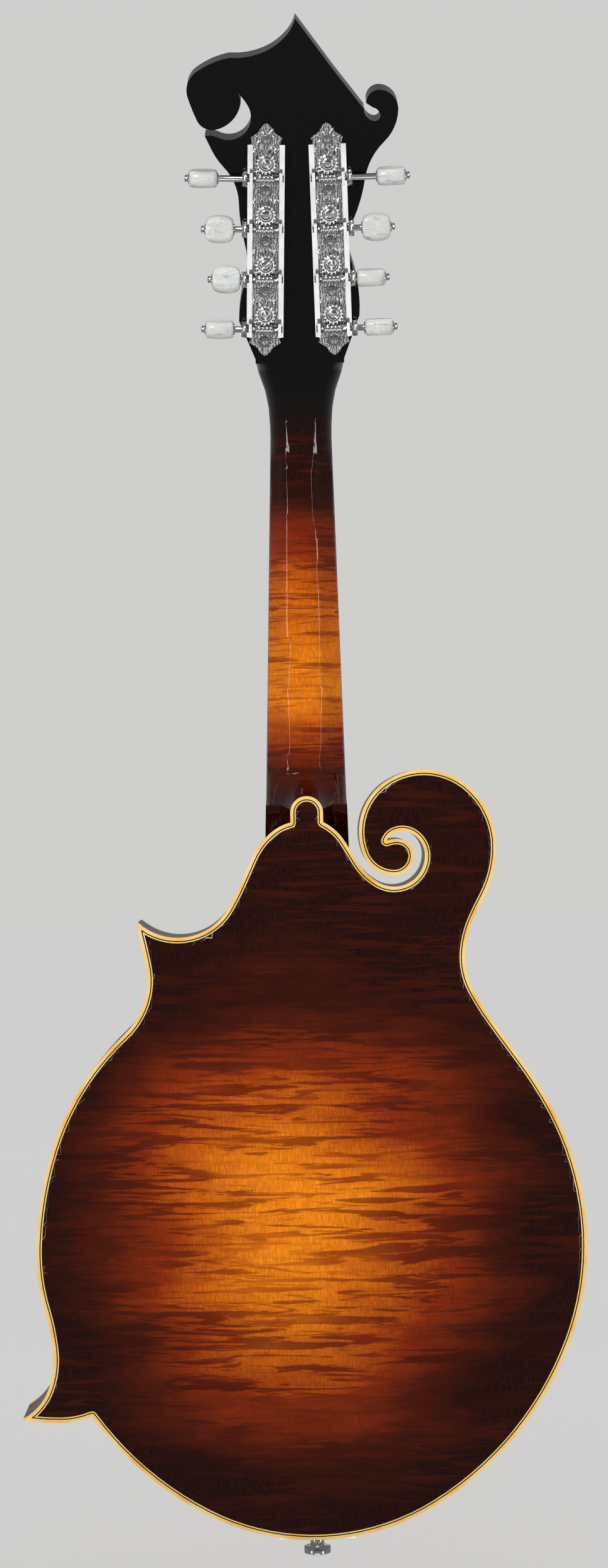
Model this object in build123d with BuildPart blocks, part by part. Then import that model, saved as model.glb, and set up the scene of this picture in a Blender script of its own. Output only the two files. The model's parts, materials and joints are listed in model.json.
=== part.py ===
from build123d import *
import os
from math import cos, radians, sin, tan

os.makedirs("parts", exist_ok=True)

# F-style mandolin. +Z runs up the instrument to the head, +X is to the right when it is seen from
# the back, and +Y points out of the front. The origin is on the neck's centre line, at the nut,
# level with the underside of the fingerboard: where a hanger's yoke holds it.

# ------------------------------------------------------------------ driving dimensions (mm, degrees)
SCALE_LENGTH = 352.4          # nut to bridge, along the strings
NECK_PITCH = 5.5              # neck to body plane
HEAD_TILT = 15.0              # head to neck
BRIDGE_ABOVE_TAIL = 158.0     # bridge line, up from the tail edge
BRIDGE_HEIGHT = 17.0          # top crown to underside of the strings
STRING_RISE = 9.4             # strings above the neck's face, at the bridge

RIB_HEIGHT = 35.0
RIB_THICKNESS = 2.2
PLATE_EDGE = 4.7
BACK_ARCH = 12.5
TOP_ARCH = 15.0
BELLY_RADIUS = 116.0          # arched area of a plate: a half round below its crown
BELLY_REACH = 178.0           # and a stretched half above it
BELLY_CENTRE = 132.0          # crown, up from the tail edge
BELLY_WALL_STEP = 6.0         # inner belly is this much smaller all round
BELLY_SINK = 1.0              # how far a belly reaches into the flat of its plate

OUTER_PLY = 1.45              # cream
BLACK_PLY = 0.5
INNER_PLY = 0.55              # cream
LINING_WIDTH = 5.5
LINING_HEIGHT = 7.0
HEAD_BLOCK_FROM = 290.0       # heights up from the tail edge
TAIL_BLOCK_TO = 17.0
TAIL_BLOCK_HALF = 36.0
TONE_BAR_WIDTH = 6.0
TONE_BAR_DEPTH = 9.0
TONE_BAR_SPREAD = 33.0

NUT_WIDTH = 28.6
NUT_LENGTH = 5.0
OCTAVE_WIDTH = 38.2           # fingerboard at half the scale length
BOARD_THICKNESS = 5.0
BOARD_BINDING = 1.5
FRET_COUNT = 29
FRET_WIDTH = 1.3
FRET_HEIGHT = 1.0
FRET_LENGTH_GAP = 0.3
NUT_ABOVE_BOARD = 1.9
NUT_SLOPE = 0.9                # the slots drop towards the head
NUT_FLARE = 1.3               # and open out
NUT_ACTION = 1.3              # underside of the strings above the board, at the nut
DOT_RADIUS = 2.6
SIDE_DOT_RADIUS = 0.9
DOT_DEPTH = 1.0

NECK_DEPTH_NUT = 15.5
NECK_DEPTH_HEEL = 19.0
BUTTON_HALF_WIDTH = 7.5
BUTTON_SHOULDER = 328.3       # where the button leaves the body, up from the tail edge
TENON_DEPTH = 16.0
TENON_HALF = 8.0
TENON_FLARE = 3.0
ROD_RADIUS = 2.4
ROD_DEPTH = 6.5
ROD_NUT_RADIUS = 3.6
ROD_NUT_LENGTH = 10.0
ROD_PAST_NUT = 21.0           # how far the rod reaches into the head
ROD_COVER_THICKNESS = 1.4
ROD_COVER_TOP = 33.0
COVER_PLATE_HALF = 10.0

HEAD_THICKNESS = 14.5
OVERLAY_THICKNESS = 1.8
HEAD_NECK_END = 36.0          # where the head's parallel body begins, up from the nut's far side
HEAD_NECK_HALF = 20.4

TUNER_PITCH = 23.02
TUNER_HALF_SPREAD = 14.7      # plate centre lines from the head's centre line, at mid plate
TUNER_SPLAY = 1.4
TUNER_MIDDLE = 92.5           # mid plate, up from the nut's far side
PLATE_WIDTH = 16.8
PLATE_THICKNESS = 1.2
RAIL_WIDTH = 2.4
RAIL_HEIGHT = 2.4
RAIL_TOP = 42.5
RAIL_BOTTOM = -45.7
SCREW_BELOW_GEAR = 13.4
TOP_SCREW = 44.6
LUG_HEIGHT = 7.4
LUG_LENGTH = 6.4
WORM_BELOW_GEAR = 7.0
WORM_HEIGHT = 4.5             # worm axis above the head's back
WORM_PITCH = 1.8
WORM_TURNS = 5
WORM_ROOT = 1.85
WORM_OUTER = 2.85
THREAD_SINK = 0.1             # how far the thread reaches into the worm's root
THREAD_ROOT_WIDTH = 1.0
THREAD_TIP_WIDTH = 0.4
SHAFT_RADIUS = 1.45
COLLAR_RADIUS = 3.7
COLLAR_LENGTH = 2.2
COLLAR_GAP = 0.15             # turning faces to the plate
STUB_SHARE = 0.8              # how much of the button the shaft runs into
LUG_THICKNESS = 1.4
GEAR_TEETH = 16
GEAR_WIDTH = 3.0
GEAR_OUTER = 4.95
GEAR_ROOT = 3.95
TOOTH_ROOT_WIDTH = 0.95
TOOTH_TIP_WIDTH = 0.45
POST_RADIUS = 3.0
POST_ABOVE_HEAD = 14.0
POST_SHOULDER = 0.8
GEAR_SCREW_RADIUS = 2.6
GEAR_SCREW_HEIGHT = 1.1
SCREW_SLOT = 0.8
BUSHING_FLANGE = 1.2
BUSHING_FLANGE_HEIGHT = 0.9
RUNNING_FIT = 0.05
BUTTON_LENGTH = 12.6
BUTTON_WIDTH = 12.6
BUTTON_THICKNESS = 7.4
BUTTON_OUTLINE = ((0, 0.66), (0.12, 0.86), (0.3, 0.97), (0.5, 1.0), (0.7, 0.97), (0.88, 0.86), (1, 0.66))
BUTTON_CAP = 2.2
BUTTON_CAP_RADIUS = 2.6
# From the head's tip down: plate edge to button, and how far each button is turned from face-on.
BUTTON_REACH = (13.6, 6.2, 3.1, 6.0)
BUTTON_TURNS = {"left": (90, 0, 25, 90), "right": (90, 0, 85, 80)}

COURSE_PITCH_NUT = 7.3
COURSE_PITCH_BRIDGE = 12.3
PAIR_GAP_NUT = 2.2
PAIR_GAP_BRIDGE = 2.6
STRING_RADII = {"g": 0.51, "d": 0.33, "a": 0.19, "e": 0.14}
STRING_BEND = 2.0
STRING_GAP = 0.1              # string to any piece that moves
WRAP_TURNS = 3
WRAP_HEIGHT = 7.0             # where a string meets its post, above the head's front

SADDLE_LENGTH = 56.0
SADDLE_WIDTH = 6.0
SADDLE_HEIGHT = 7.0
SADDLE_CROWN = 1.0
BRIDGE_BASE_LENGTH = 112.0
BRIDGE_BASE_WIDTH = 12.0
BRIDGE_POST_SPREAD = 19.5
BRIDGE_POST_RADIUS = 1.6
POST_IN_SADDLE = 3.2
POST_IN_BASE = 4.0
POST_FIT = 0.35               # clearance of wheels and saddle round the posts
WHEEL_RADIUS = 6.0
WHEEL_THICKNESS = 1.6
BRIDGE_TRAVEL = 1.6           # how far the saddle can be lowered

TAILPIECE_WIDTH = 35.0
TAILPIECE_LENGTH = 30.0
TAILPIECE_THICKNESS = 1.2
TAILPIECE_LIFT = 1.2          # clears the foot of the top's arch
TAILPIECE_LEG = 37.0
LEG_GAP = 0.8                 # the leg stands off the tail's curve
HOOK_HEIGHT = 6.5
HOOK_WIDTH = 1.6
HOOK_FROM_TAIL = 14.0
HOOK_SPREAD = 0.72            # string spacing at the hooks, as a share of that at the bridge
COVER_WALL = 1.0
COVER_TAIL = -8.0             # from the tail edge
COVER_LENGTH = 54.0
COVER_LOW = 10.5
COVER_HIGH = 16.0
COVER_GAP = 0.6

PIN_DISC_RADIUS = 6.1
PIN_DISC_LENGTH = 2.9
PIN_WAIST_RADIUS = 3.2
PIN_FLANGE_RADIUS = 5.0
PIN_FLANGE_LENGTH = 1.5
PIN_REACH = 12.0
PIN_DOME = 1.1
PIN_SHANK_LENGTH = 15.0
SCREW_RADIUS = 1.2
SCREW_HEAD_RADIUS = 2.3
SCREW_HEAD_HEIGHT = 1.2
SCREW_LENGTH = 8.0

# ------------------------------------------------------------------ places worked out from them
pitch = radians(NECK_PITCH)
lean = radians(NECK_PITCH + HEAD_TILT)
binding_width = OUTER_PLY + BLACK_PLY + INNER_PLY
bridge_z = -SCALE_LENGTH * cos(pitch) + STRING_RISE * sin(pitch)
string_y = SCALE_LENGTH * sin(pitch) + STRING_RISE * cos(pitch)
tail_z = bridge_z - BRIDGE_ABOVE_TAIL
top_crown_y = string_y - BRIDGE_HEIGHT
top_edge_y = top_crown_y - TOP_ARCH
top_inner_y = top_edge_y - PLATE_EDGE
back_inner_y = top_inner_y - RIB_HEIGHT
back_edge_y = back_inner_y - PLATE_EDGE
middle_y = (top_inner_y + back_inner_y) / 2
octave = SCALE_LENGTH / 2


def body_plane(y):
    """Sketch plane across the body: x to the right, y up from the tail edge, out of the back."""
    return Plane(origin=(0, y, tail_z), x_dir=(1, 0, 0), z_dir=(0, -1, 0))


# The neck's face: x to the right, y from the nut towards the body, out of the front.
neck_face = Plane(origin=(0, 0, 0), x_dir=(1, 0, 0), z_dir=(0, cos(pitch), sin(pitch)))
head_start = neck_face.from_local_coords((0, -NUT_LENGTH, 0))
# The head's front wood face: x to the right, y up the head, z into the head, towards its back.
head_face = Plane(origin=head_start, x_dir=(1, 0, 0), z_dir=(0, -cos(lean), -sin(lean)))
head_back = head_face.offset(HEAD_THICKNESS)


def neck_section(distance):
    """Plane across the neck, this far from the nut: x to the right, y out of the front."""
    origin = neck_face.from_local_coords((0, distance, 0))
    return Plane(origin=origin, x_dir=(1, 0, 0), z_dir=(0, -sin(pitch), cos(pitch)))


def finish(part, name):
    """Name a finished piece and write it."""
    part.label = name
    export_step(part, f"parts/{name}.step")


# ------------------------------------------------------------------ body outline
def arc_run(points, heading):
    """Arcs through the points, each leaving in the direction in which the last one arrived."""
    direction = (cos(radians(heading)), sin(radians(heading)))
    for start, end in zip(points, points[1:]):
        direction = TangentArc(start, end, tangent=direction) % 1


BUTTON_RIGHT = (BUTTON_HALF_WIDTH, BUTTON_SHOULDER)
BUTTON_LEFT = (-BUTTON_HALF_WIDTH, BUTTON_SHOULDER)
SLOT_TIP = (36.5, 319.3)
NOTCH = (-102.4, 57.4)
LOWER_POINT = (-134.2, 56.4)
UPPER_POINT = (-78.2, 283.5)
# Each run starts at a corner of the outline, heads off at its angle, and ends at the next corner.
BODY_RUNS = (
    ((BUTTON_RIGHT, (17.1, 319.6), (22.7, 310.2), (32.7, 300.1), (53.9, 313.0), (47.6, 322.7),
      (39.8, 322.8), SLOT_TIP), -26.3),
    ((SLOT_TIP, (41.6, 320.1), (48.9, 312.1), (39.8, 303.4), (25.6, 313.3), (38.4, 347.8),
      (75.4, 342.8), (86.7, 315.7), (80.6, 292.7), (75.7, 283.0), (71.7, 268.3), (75.4, 249.8),
      (83.9, 236.0), (96.1, 218.9), (110.5, 195.7), (125.6, 138.6), (117.3, 89.1), (55.0, 14.8),
      (-50.2, 11.7), NOTCH), 21.0),
    ((NOTCH, (-115.8, 54.8), LOWER_POINT), -158.3),
    ((LOWER_POINT, (-122.1, 70.2), (-119.8, 88.4), (-123.3, 106.5), (-126.7, 136.6),
      (-118.6, 180.3), (-85.2, 232.1), (-75.8, 246.4), (-74.5, 262.8), (-77.4, 276.6),
      UPPER_POINT), 28.0),
    ((UPPER_POINT, (-62.1, 276.3), (-36.6, 289.3), (-30.5, 301.0), (-25.6, 311.8),
      (-17.0, 323.4), BUTTON_LEFT), -43.0),
)


def body_outline():
    """The body's outline with the heel button, as a face on the XY plane."""
    with BuildSketch() as outline:
        with BuildLine():
            for points, heading in BODY_RUNS:
                arc_run(points, heading)
            shoulder = (-BUTTON_HALF_WIDTH, BUTTON_SHOULDER + 4.5)
            Line(BUTTON_LEFT, shoulder)
            crown = TangentArc(shoulder, (-shoulder[0], shoulder[1]), tangent=(0, 1))
            Line(crown @ 1, BUTTON_RIGHT)
        make_face()
    return outline.sketch


def inset(face, amount):
    """The same face, smaller by this much all round."""
    with BuildSketch() as smaller:
        add(face)
        offset(amount=-amount, kind=Kind.ARC, mode=Mode.REPLACE)
    return smaller.sketch


outer_face = body_outline()
black_face = inset(outer_face, OUTER_PLY)
inner_ply_face = inset(outer_face, OUTER_PLY + BLACK_PLY)
plate_face = inset(outer_face, binding_width)
rib_inner_face = inset(outer_face, RIB_THICKNESS)


def band(bottom, top, width=400):
    """A face across the whole body between two heights above the tail edge."""
    with BuildSketch() as strip:
        with Locations((0, (bottom + top) / 2)):
            Rectangle(width, top - bottom)
    return strip.sketch


def button_zone():
    """The heel button's part of the outline, which only the back has."""
    with BuildSketch() as zone:
        with Locations((0, BUTTON_SHOULDER - binding_width + 15)):
            Rectangle(2 * BUTTON_HALF_WIDTH + 1, 30)
    return zone.sketch


with BuildPart() as neck_room:
    with BuildSketch(body_plane(back_inner_y)):
        add(button_zone())
    extrude(amount=-(RIB_HEIGHT + PLATE_EDGE + TOP_ARCH))

# ------------------------------------------------------------------ arched plates
def belly(radius, reach, rise, y, outward):
    """An egg-shaped bell: a half round below the crown and a stretched half above it."""
    with BuildPart() as half:
        with BuildSketch(Plane(origin=(0, 0, 0), x_dir=(1, 0, 0), z_dir=(0, 0, outward))):
            with BuildLine():
                Polyline((0, rise), (0, -BELLY_SINK), (radius, -BELLY_SINK), (radius, 0))
                Bezier((radius, 0), (0.62 * radius, 0), (0.56 * radius, rise), (0, rise))
            make_face()
        revolve(axis=Axis((0, 0, 0), (0, 1, 0)), revolution_arc=180)
    with BuildPart() as stretched:
        add(half.part.mirror(Plane.XY))
        scale(by=(1, 1, reach / radius))
    with BuildPart() as whole:
        add(half.part.moved(Location((0, y, tail_z + BELLY_CENTRE))))
        add(stretched.part.moved(Location((0, y, tail_z + BELLY_CENTRE))))
    return whole.part


back_belly = belly(BELLY_RADIUS, BELLY_REACH, BACK_ARCH, back_edge_y, -1)
back_hollow = belly(BELLY_RADIUS - BELLY_WALL_STEP, BELLY_REACH - BELLY_WALL_STEP, BACK_ARCH,
                    back_inner_y, -1)
top_belly = belly(BELLY_RADIUS, BELLY_REACH, TOP_ARCH, top_edge_y, 1)
top_hollow = belly(BELLY_RADIUS - BELLY_WALL_STEP, BELLY_REACH - BELLY_WALL_STEP, TOP_ARCH,
                   top_inner_y, 1)

with BuildPart() as tenon:
    with BuildSketch(body_plane(back_inner_y)):
        with BuildLine():
            Polyline((-TENON_HALF, BUTTON_SHOULDER), (-TENON_HALF - TENON_FLARE,
                     BUTTON_SHOULDER - TENON_DEPTH), (TENON_HALF + TENON_FLARE,
                     BUTTON_SHOULDER - TENON_DEPTH), (TENON_HALF, BUTTON_SHOULDER), close=True)
        make_face()
    extrude(amount=-(RIB_HEIGHT + PLATE_EDGE))


def plate(flat_y, bump, hollow, y_from, depth):
    """A carved plate: its flat edge, with the belly that lies inside its outline."""
    with BuildPart() as column:
        with BuildSketch(body_plane(y_from)):
            add(plate_face)
        extrude(amount=depth)
    with BuildPart() as carved:
        with BuildSketch(body_plane(flat_y)):
            add(plate_face)
        extrude(amount=PLATE_EDGE)
        add(bump & column.part)
        add(hollow, mode=Mode.SUBTRACT)
    return carved.part


def f_hole(side):
    """One sound hole, drawn across the body: a curved stem between two round ends."""
    upper = (side * 46.5, 198.0)
    lower = (side * 67.0, 118.0)
    with BuildSketch(body_plane(top_inner_y - BELLY_SINK)) as hole:
        with BuildLine() as stem:
            Bezier(upper, (side * 66.0, 186.0), (side * 47.5, 132.0), lower)
        trace(stem.line, line_width=5.0)
        with Locations((side * 49.5, 195.5)):
            Circle(4.0)
        with Locations((side * 63.5, 120.5)):
            Circle(5.0)
    return hole.sketch


finish(plate(back_inner_y, back_belly, back_hollow, back_inner_y, PLATE_EDGE + BACK_ARCH + 1),
       "back_plate")

with BuildPart() as top_plate:
    add(plate(top_edge_y, top_belly, top_hollow, top_edge_y + TOP_ARCH + 1,
              PLATE_EDGE + TOP_ARCH + 1))
    for side in (-1, 1):
        extrude(f_hole(side), amount=-(PLATE_EDGE + TOP_ARCH + 2), mode=Mode.SUBTRACT)
    add(tenon.part, mode=Mode.SUBTRACT)
    add(neck_room.part, mode=Mode.SUBTRACT)
finish(top_plate.part, "top_plate")

# ------------------------------------------------------------------ bindings
for name, y in (("back", back_inner_y), ("top", top_edge_y)):
    with BuildPart() as cream:
        with BuildSketch(body_plane(y)):
            add(outer_face)
            add(black_face, mode=Mode.SUBTRACT)
        with BuildSketch(body_plane(y)):
            add(inner_ply_face)
            add(plate_face, mode=Mode.SUBTRACT)
        extrude(amount=PLATE_EDGE)
        if name == "top":
            add(tenon.part, mode=Mode.SUBTRACT)
            add(neck_room.part, mode=Mode.SUBTRACT)
    finish(cream.part, f"{name}_binding")
    with BuildPart() as black:
        with BuildSketch(body_plane(y)):
            add(black_face)
            add(inner_ply_face, mode=Mode.SUBTRACT)
        extrude(amount=PLATE_EDGE)
        if name == "top":
            add(tenon.part, mode=Mode.SUBTRACT)
            add(neck_room.part, mode=Mode.SUBTRACT)
    finish(black.part, f"{name}_purfling_black")

# ------------------------------------------------------------------ ribs, blocks, linings, bars
with BuildPart() as rib_ring:
    with BuildSketch(body_plane(back_inner_y)):
        add(outer_face)
        add(rib_inner_face, mode=Mode.SUBTRACT)
        add(button_zone(), mode=Mode.SUBTRACT)
    extrude(amount=-RIB_HEIGHT)
    add(tenon.part, mode=Mode.SUBTRACT)
    with Locations((0, middle_y, tail_z)):
        Cylinder(PIN_WAIST_RADIUS + RUNNING_FIT, 10, mode=Mode.SUBTRACT)
with BuildPart() as scroll_side:
    with BuildSketch(body_plane(back_inner_y)):
        with Locations((100, 190)):
            Rectangle(200, 420)
    extrude(amount=-RIB_HEIGHT)
finish(rib_ring.part & scroll_side.part, "rib_scroll_side")
with BuildPart() as point_side:
    add(rib_ring.part)
    add(scroll_side.part, mode=Mode.SUBTRACT)
    for corner in (LOWER_POINT, UPPER_POINT):
        with BuildSketch(body_plane(back_inner_y)):
            with Locations(corner):
                Rectangle(60, 0.05)
        extrude(amount=-RIB_HEIGHT, mode=Mode.SUBTRACT)
finish(point_side.part, "ribs_point_side")

with BuildPart() as head_block:
    with BuildSketch(body_plane(back_inner_y)):
        add(rib_inner_face)
        add(band(HEAD_BLOCK_FROM, BUTTON_SHOULDER + 40), mode=Mode.INTERSECT)
        add(button_zone(), mode=Mode.SUBTRACT)
    extrude(amount=-RIB_HEIGHT)
    add(tenon.part, mode=Mode.SUBTRACT)
finish(head_block.part, "head_block")

with BuildPart() as rim_blocks:
    with BuildSketch(body_plane(back_inner_y)):
        with Locations((0, TAIL_BLOCK_TO / 2)):
            Rectangle(2 * TAIL_BLOCK_HALF, TAIL_BLOCK_TO)
        with Locations((LOWER_POINT[0] + 12, LOWER_POINT[1] + 8)):
            Rectangle(30, 24)
        with Locations((UPPER_POINT[0] + 12, UPPER_POINT[1] - 6)):
            Rectangle(30, 22)
        add(rib_inner_face, mode=Mode.INTERSECT)
    extrude(amount=-RIB_HEIGHT)
    with Locations((0, middle_y, tail_z)):
        Cylinder(PIN_WAIST_RADIUS + RUNNING_FIT, 60, mode=Mode.SUBTRACT)
finish(rim_blocks.part, "rim_blocks")

with BuildSketch() as lining_ring:
    add(rib_inner_face)
    add(band(0, HEAD_BLOCK_FROM + 2 * LINING_WIDTH), mode=Mode.INTERSECT)
lining_core = inset(lining_ring.sketch, LINING_WIDTH)
with BuildPart() as linings:
    for y in (back_inner_y, top_inner_y - LINING_HEIGHT):
        with BuildSketch(body_plane(y)):
            add(lining_ring.sketch)
            add(lining_core, mode=Mode.SUBTRACT)
            add(band(0, HEAD_BLOCK_FROM), mode=Mode.INTERSECT)
        extrude(amount=-LINING_HEIGHT)
    add(rim_blocks.part, mode=Mode.SUBTRACT)
finish(linings.part, "kerfed_linings")

with BuildPart() as tone_bars:
    for side in (-1, 1):
        spread = TONE_BAR_SPREAD * side
        with BuildSketch(body_plane(top_inner_y + TOP_ARCH)):
            with BuildLine():
                Polyline((spread * 1.15, 62), (spread * 0.62, 262),
                         (spread * 0.62 + TONE_BAR_WIDTH * side, 262),
                         (spread * 1.15 + TONE_BAR_WIDTH * side, 62), close=True)
            make_face()
        extrude(amount=TOP_ARCH + TONE_BAR_DEPTH)
    with BuildSketch(body_plane(top_inner_y + TOP_ARCH)):
        add(band(55, 270))
    extrude(amount=TOP_ARCH + TONE_BAR_DEPTH, mode=Mode.INTERSECT)
with BuildPart() as under_top:
    add(top_hollow)
    add(top_hollow.moved(Location((0, -TONE_BAR_DEPTH, 0))), mode=Mode.SUBTRACT)
finish(tone_bars.part & under_top.part, "tone_bars")

# ------------------------------------------------------------------ fingerboard
WIDTH_SLOPE = (OCTAVE_WIDTH - NUT_WIDTH) / octave / 2


def half_width(distance):
    """Half the fingerboard's width, this far from the nut."""
    return NUT_WIDTH / 2 + WIDTH_SLOPE * distance


def fret_distance(number):
    """How far a fret is from the nut."""
    return SCALE_LENGTH * (1 - 2 ** (-number / 12))


board_short = fret_distance(21) + 2.5
board_long = fret_distance(FRET_COUNT) + 2.5


def board_outline(trim):
    """The fingerboard with its extension, smaller by trim at its sides and end."""
    with BuildSketch() as outline:
        with BuildLine():
            Polyline((-half_width(0) + trim, 0), (-half_width(board_long) + trim, board_long - trim),
                     (-4, board_long - trim), (6, board_short + 12 - trim),
                     (half_width(board_short) - trim, board_short - trim),
                     (half_width(0) - trim, 0), close=True)
        make_face()
    return outline.sketch


with BuildPart() as fingerboard:
    with BuildSketch(neck_face):
        add(board_outline(BOARD_BINDING))
    extrude(amount=BOARD_THICKNESS)
    for number in range(1, FRET_COUNT + 1):
        with BuildSketch(neck_face.offset(BOARD_THICKNESS)):
            with Locations((0, fret_distance(number))):
                Rectangle(60, 0.6)
        extrude(amount=-1.6, mode=Mode.SUBTRACT)
dot_places = [fret_distance(n - 0.5) for n in (5, 7, 10, 15, 17)]
twelfth = fret_distance(11.5)
with BuildPart() as position_dots:
    with BuildSketch(neck_face.offset(BOARD_THICKNESS)):
        with Locations(*[(0, place) for place in dot_places]):
            Circle(DOT_RADIUS)
        with Locations((-6, twelfth), (6, twelfth)):
            Circle(DOT_RADIUS)
    extrude(amount=-DOT_DEPTH)
with BuildPart() as board_with_pockets:
    add(fingerboard.part)
    add(position_dots.part, mode=Mode.SUBTRACT)
finish(board_with_pockets.part, "fingerboard")
finish(position_dots.part, "position_dots")
with BuildPart() as fingerboard_binding:
    with BuildSketch(neck_face):
        add(board_outline(0))
        add(board_outline(BOARD_BINDING), mode=Mode.SUBTRACT)
    extrude(amount=BOARD_THICKNESS)
finish(fingerboard_binding.part, "fingerboard_binding")

with BuildPart() as frets:
    for number in range(1, FRET_COUNT + 1):
        with BuildSketch(neck_face.offset(BOARD_THICKNESS)):
            with Locations((0, fret_distance(number))):
                Rectangle(60, FRET_WIDTH)
            add(board_outline(FRET_LENGTH_GAP), mode=Mode.INTERSECT)
        extrude(amount=FRET_HEIGHT)
        with BuildSketch(neck_face.offset(BOARD_THICKNESS)):
            with Locations((0, fret_distance(number))):
                Rectangle(60, 0.6)
            add(board_outline(BOARD_BINDING), mode=Mode.INTERSECT)
        extrude(amount=-1.6)
finish(frets.part, "frets")

# ------------------------------------------------------------------ neck
def neck_shape(plane, half, depth, flat, top=0.0):
    """A neck section: flat face, rounded back with a flat of this half width at its crest."""
    with BuildSketch(plane) as section:
        with BuildLine():
            Line((-half, top), (half, top))
            Bezier((half, top), (half, top - 0.62 * depth), (flat + 0.55 * (half - flat), top - depth),
                   (flat, top - depth))
            Line((flat, top - depth), (-flat, top - depth))
            Bezier((-flat, top - depth), (-flat - 0.55 * (half - flat), top - depth),
                   (-half, top - 0.62 * depth), (-half, top))
        make_face()
    return section.sketch


heel_foot = octave + 30
with BuildPart() as shaft:
    for distance in (-2, 40, 90, 140, heel_foot):
        share = max(distance, 0) / heel_foot
        depth = NECK_DEPTH_NUT + share * (NECK_DEPTH_HEEL - NECK_DEPTH_NUT)
        add(neck_shape(neck_section(distance), half_width(distance), depth, 0.6))
    loft()

# From the nut to the head the face tips back and the round of the back flattens out.
with BuildPart() as handle:
    for rise, half, flat in ((-2, half_width(-2), 0.6), (6, 14.4, 2.0), (14, 14.9, 4.2),
                             (22, 16.4, 7.5), (30, 19.2, 12.5), (36, 20.6, 17.0)):
        face = -max(rise - NUT_LENGTH, 0) * tan(radians(HEAD_TILT))
        back = (-HEAD_THICKNESS / cos(radians(HEAD_TILT))
                - (rise - NUT_LENGTH) * tan(radians(HEAD_TILT)))
        depth = max(face - back, NECK_DEPTH_NUT + face) if rise < 9 else face - back
        add(neck_shape(neck_section(-rise), half, depth, flat, face))
    loft(ruled=True)


def heel_shape(y, half, nose):
    """A heel section, parallel to the back: square inside the body, round towards the head."""
    with BuildSketch(body_plane(y)) as section:
        with BuildLine():
            Line((-half, HEEL_INSIDE), (half, HEEL_INSIDE))
            Line((half, HEEL_INSIDE), (half, BUTTON_SHOULDER + 1))
            Bezier((half, BUTTON_SHOULDER + 1), (half, nose - 0.45 * half),
                   (half * 0.6, nose), (0, nose))
            Bezier((0, nose), (-half * 0.6, nose), (-half, nose - 0.45 * half),
                   (-half, BUTTON_SHOULDER + 1))
            Line((-half, BUTTON_SHOULDER + 1), (-half, HEEL_INSIDE))
        make_face()
    return section.sketch


HEEL_INSIDE = BUTTON_SHOULDER - 30
neck_crest_y = neck_section(octave).from_local_coords((0, -NECK_DEPTH_HEEL, 0)).Y
with BuildPart() as heel:
    for share, half, nose in ((0.0, 7.3, 340.0), (0.3, 8.6, 341.0), (0.6, 11.2, 344.5),
                              (0.85, 14.2, 350.5), (1.0, 16.4, 358.0)):
        add(heel_shape(back_inner_y + share * (neck_crest_y + 3 - back_inner_y), half, nose))
    loft()

with BuildPart() as riser:
    with BuildSketch(neck_face):
        with BuildLine():
            Polyline((-half_width(octave - 6), octave - 6), (-half_width(board_short - 12),
                     board_short - 12), (half_width(board_short - 12), board_short - 12),
                     (half_width(octave - 6), octave - 6), close=True)
        make_face()
    extrude(amount=-24)

with BuildPart() as body_room:
    with BuildSketch(body_plane(back_edge_y - 1)):
        add(outer_face)
        add(button_zone(), mode=Mode.SUBTRACT)
    extrude(amount=-(top_edge_y - back_edge_y + 1))
    with BuildSketch(body_plane(back_inner_y)):
        add(outer_face)
    extrude(amount=20)
    add(top_belly)
    add(tenon.part, mode=Mode.SUBTRACT)

HEAD_OUTLINE_LEFT = ((0, 190.6), (-3.6, 183.6), (-13.6, 176.2), (-29.6, 173.6))
HEAD_CURL = ((-29.6, 173.6), (-44.8, 167.3), (-48.6, 156.2), (-44.7, 145.9), (-36.5, 141.6),
             (-25.0, 152.6), (-28.6, 160.0))
HEAD_SLOT = ((-28.6, 160.0), (-21.6, 152.0), (-35.0, 138.0), (-41.3, 138.9))
HEAD_LEFT_EDGE = ((-41.3, 138.9), (-38.4, 132.6), (-33.0, 124.6), (-26.6, 108.5), (-24.3, 90.0),
                  (-25.0, 70.3), (-27.6, 54.0))
HEAD_RIGHT_LINE = ((0, 190.6), (10.2, 176.6), (30.4, 150.0))
HEAD_EYE = ((30.4, 150.0), (34.4, 144.6), (37.5, 148.0), (34.4, 150.6))
HEAD_RIGHT_CURL = ((31.4, 152.6), (37.8, 158.5), (45.8, 149.6), (39.4, 135.2), (30.6, 118.4),
                   (25.2, 100.0), (24.4, 80.0), (27.6, 56.0))


def head_outline():
    """The head as seen from the back, on the XY plane: point, two scrolls and waisted sides."""
    with BuildSketch() as outline:
        with BuildLine():
            arc_run(HEAD_OUTLINE_LEFT, -104)
            arc_run(HEAD_CURL, 190)
            arc_run(HEAD_SLOT, -36)
            arc_run(HEAD_LEFT_EDGE, -66)
            Line(HEAD_LEFT_EDGE[-1], (-HEAD_NECK_HALF, HEAD_NECK_END))
            Line((-HEAD_NECK_HALF, HEAD_NECK_END), (-HEAD_NECK_HALF, HEAD_NECK_END - 2))
            Line((-HEAD_NECK_HALF, HEAD_NECK_END - 2), (HEAD_NECK_HALF, HEAD_NECK_END - 2))
            Line((HEAD_NECK_HALF, HEAD_NECK_END - 2), (HEAD_NECK_HALF, HEAD_NECK_END))
            Line((HEAD_NECK_HALF, HEAD_NECK_END), HEAD_RIGHT_CURL[-1])
            arc_run(HEAD_RIGHT_LINE, -54)
            arc_run(HEAD_EYE, -90)
            Line(HEAD_EYE[-1], HEAD_RIGHT_CURL[0])
            arc_run(HEAD_RIGHT_CURL, 90)
        make_face()
    return outline.sketch


head_sketch = head_outline()
with BuildPart() as head_slab:
    with BuildSketch(head_face):
        add(head_sketch)
    extrude(amount=HEAD_THICKNESS)


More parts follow.
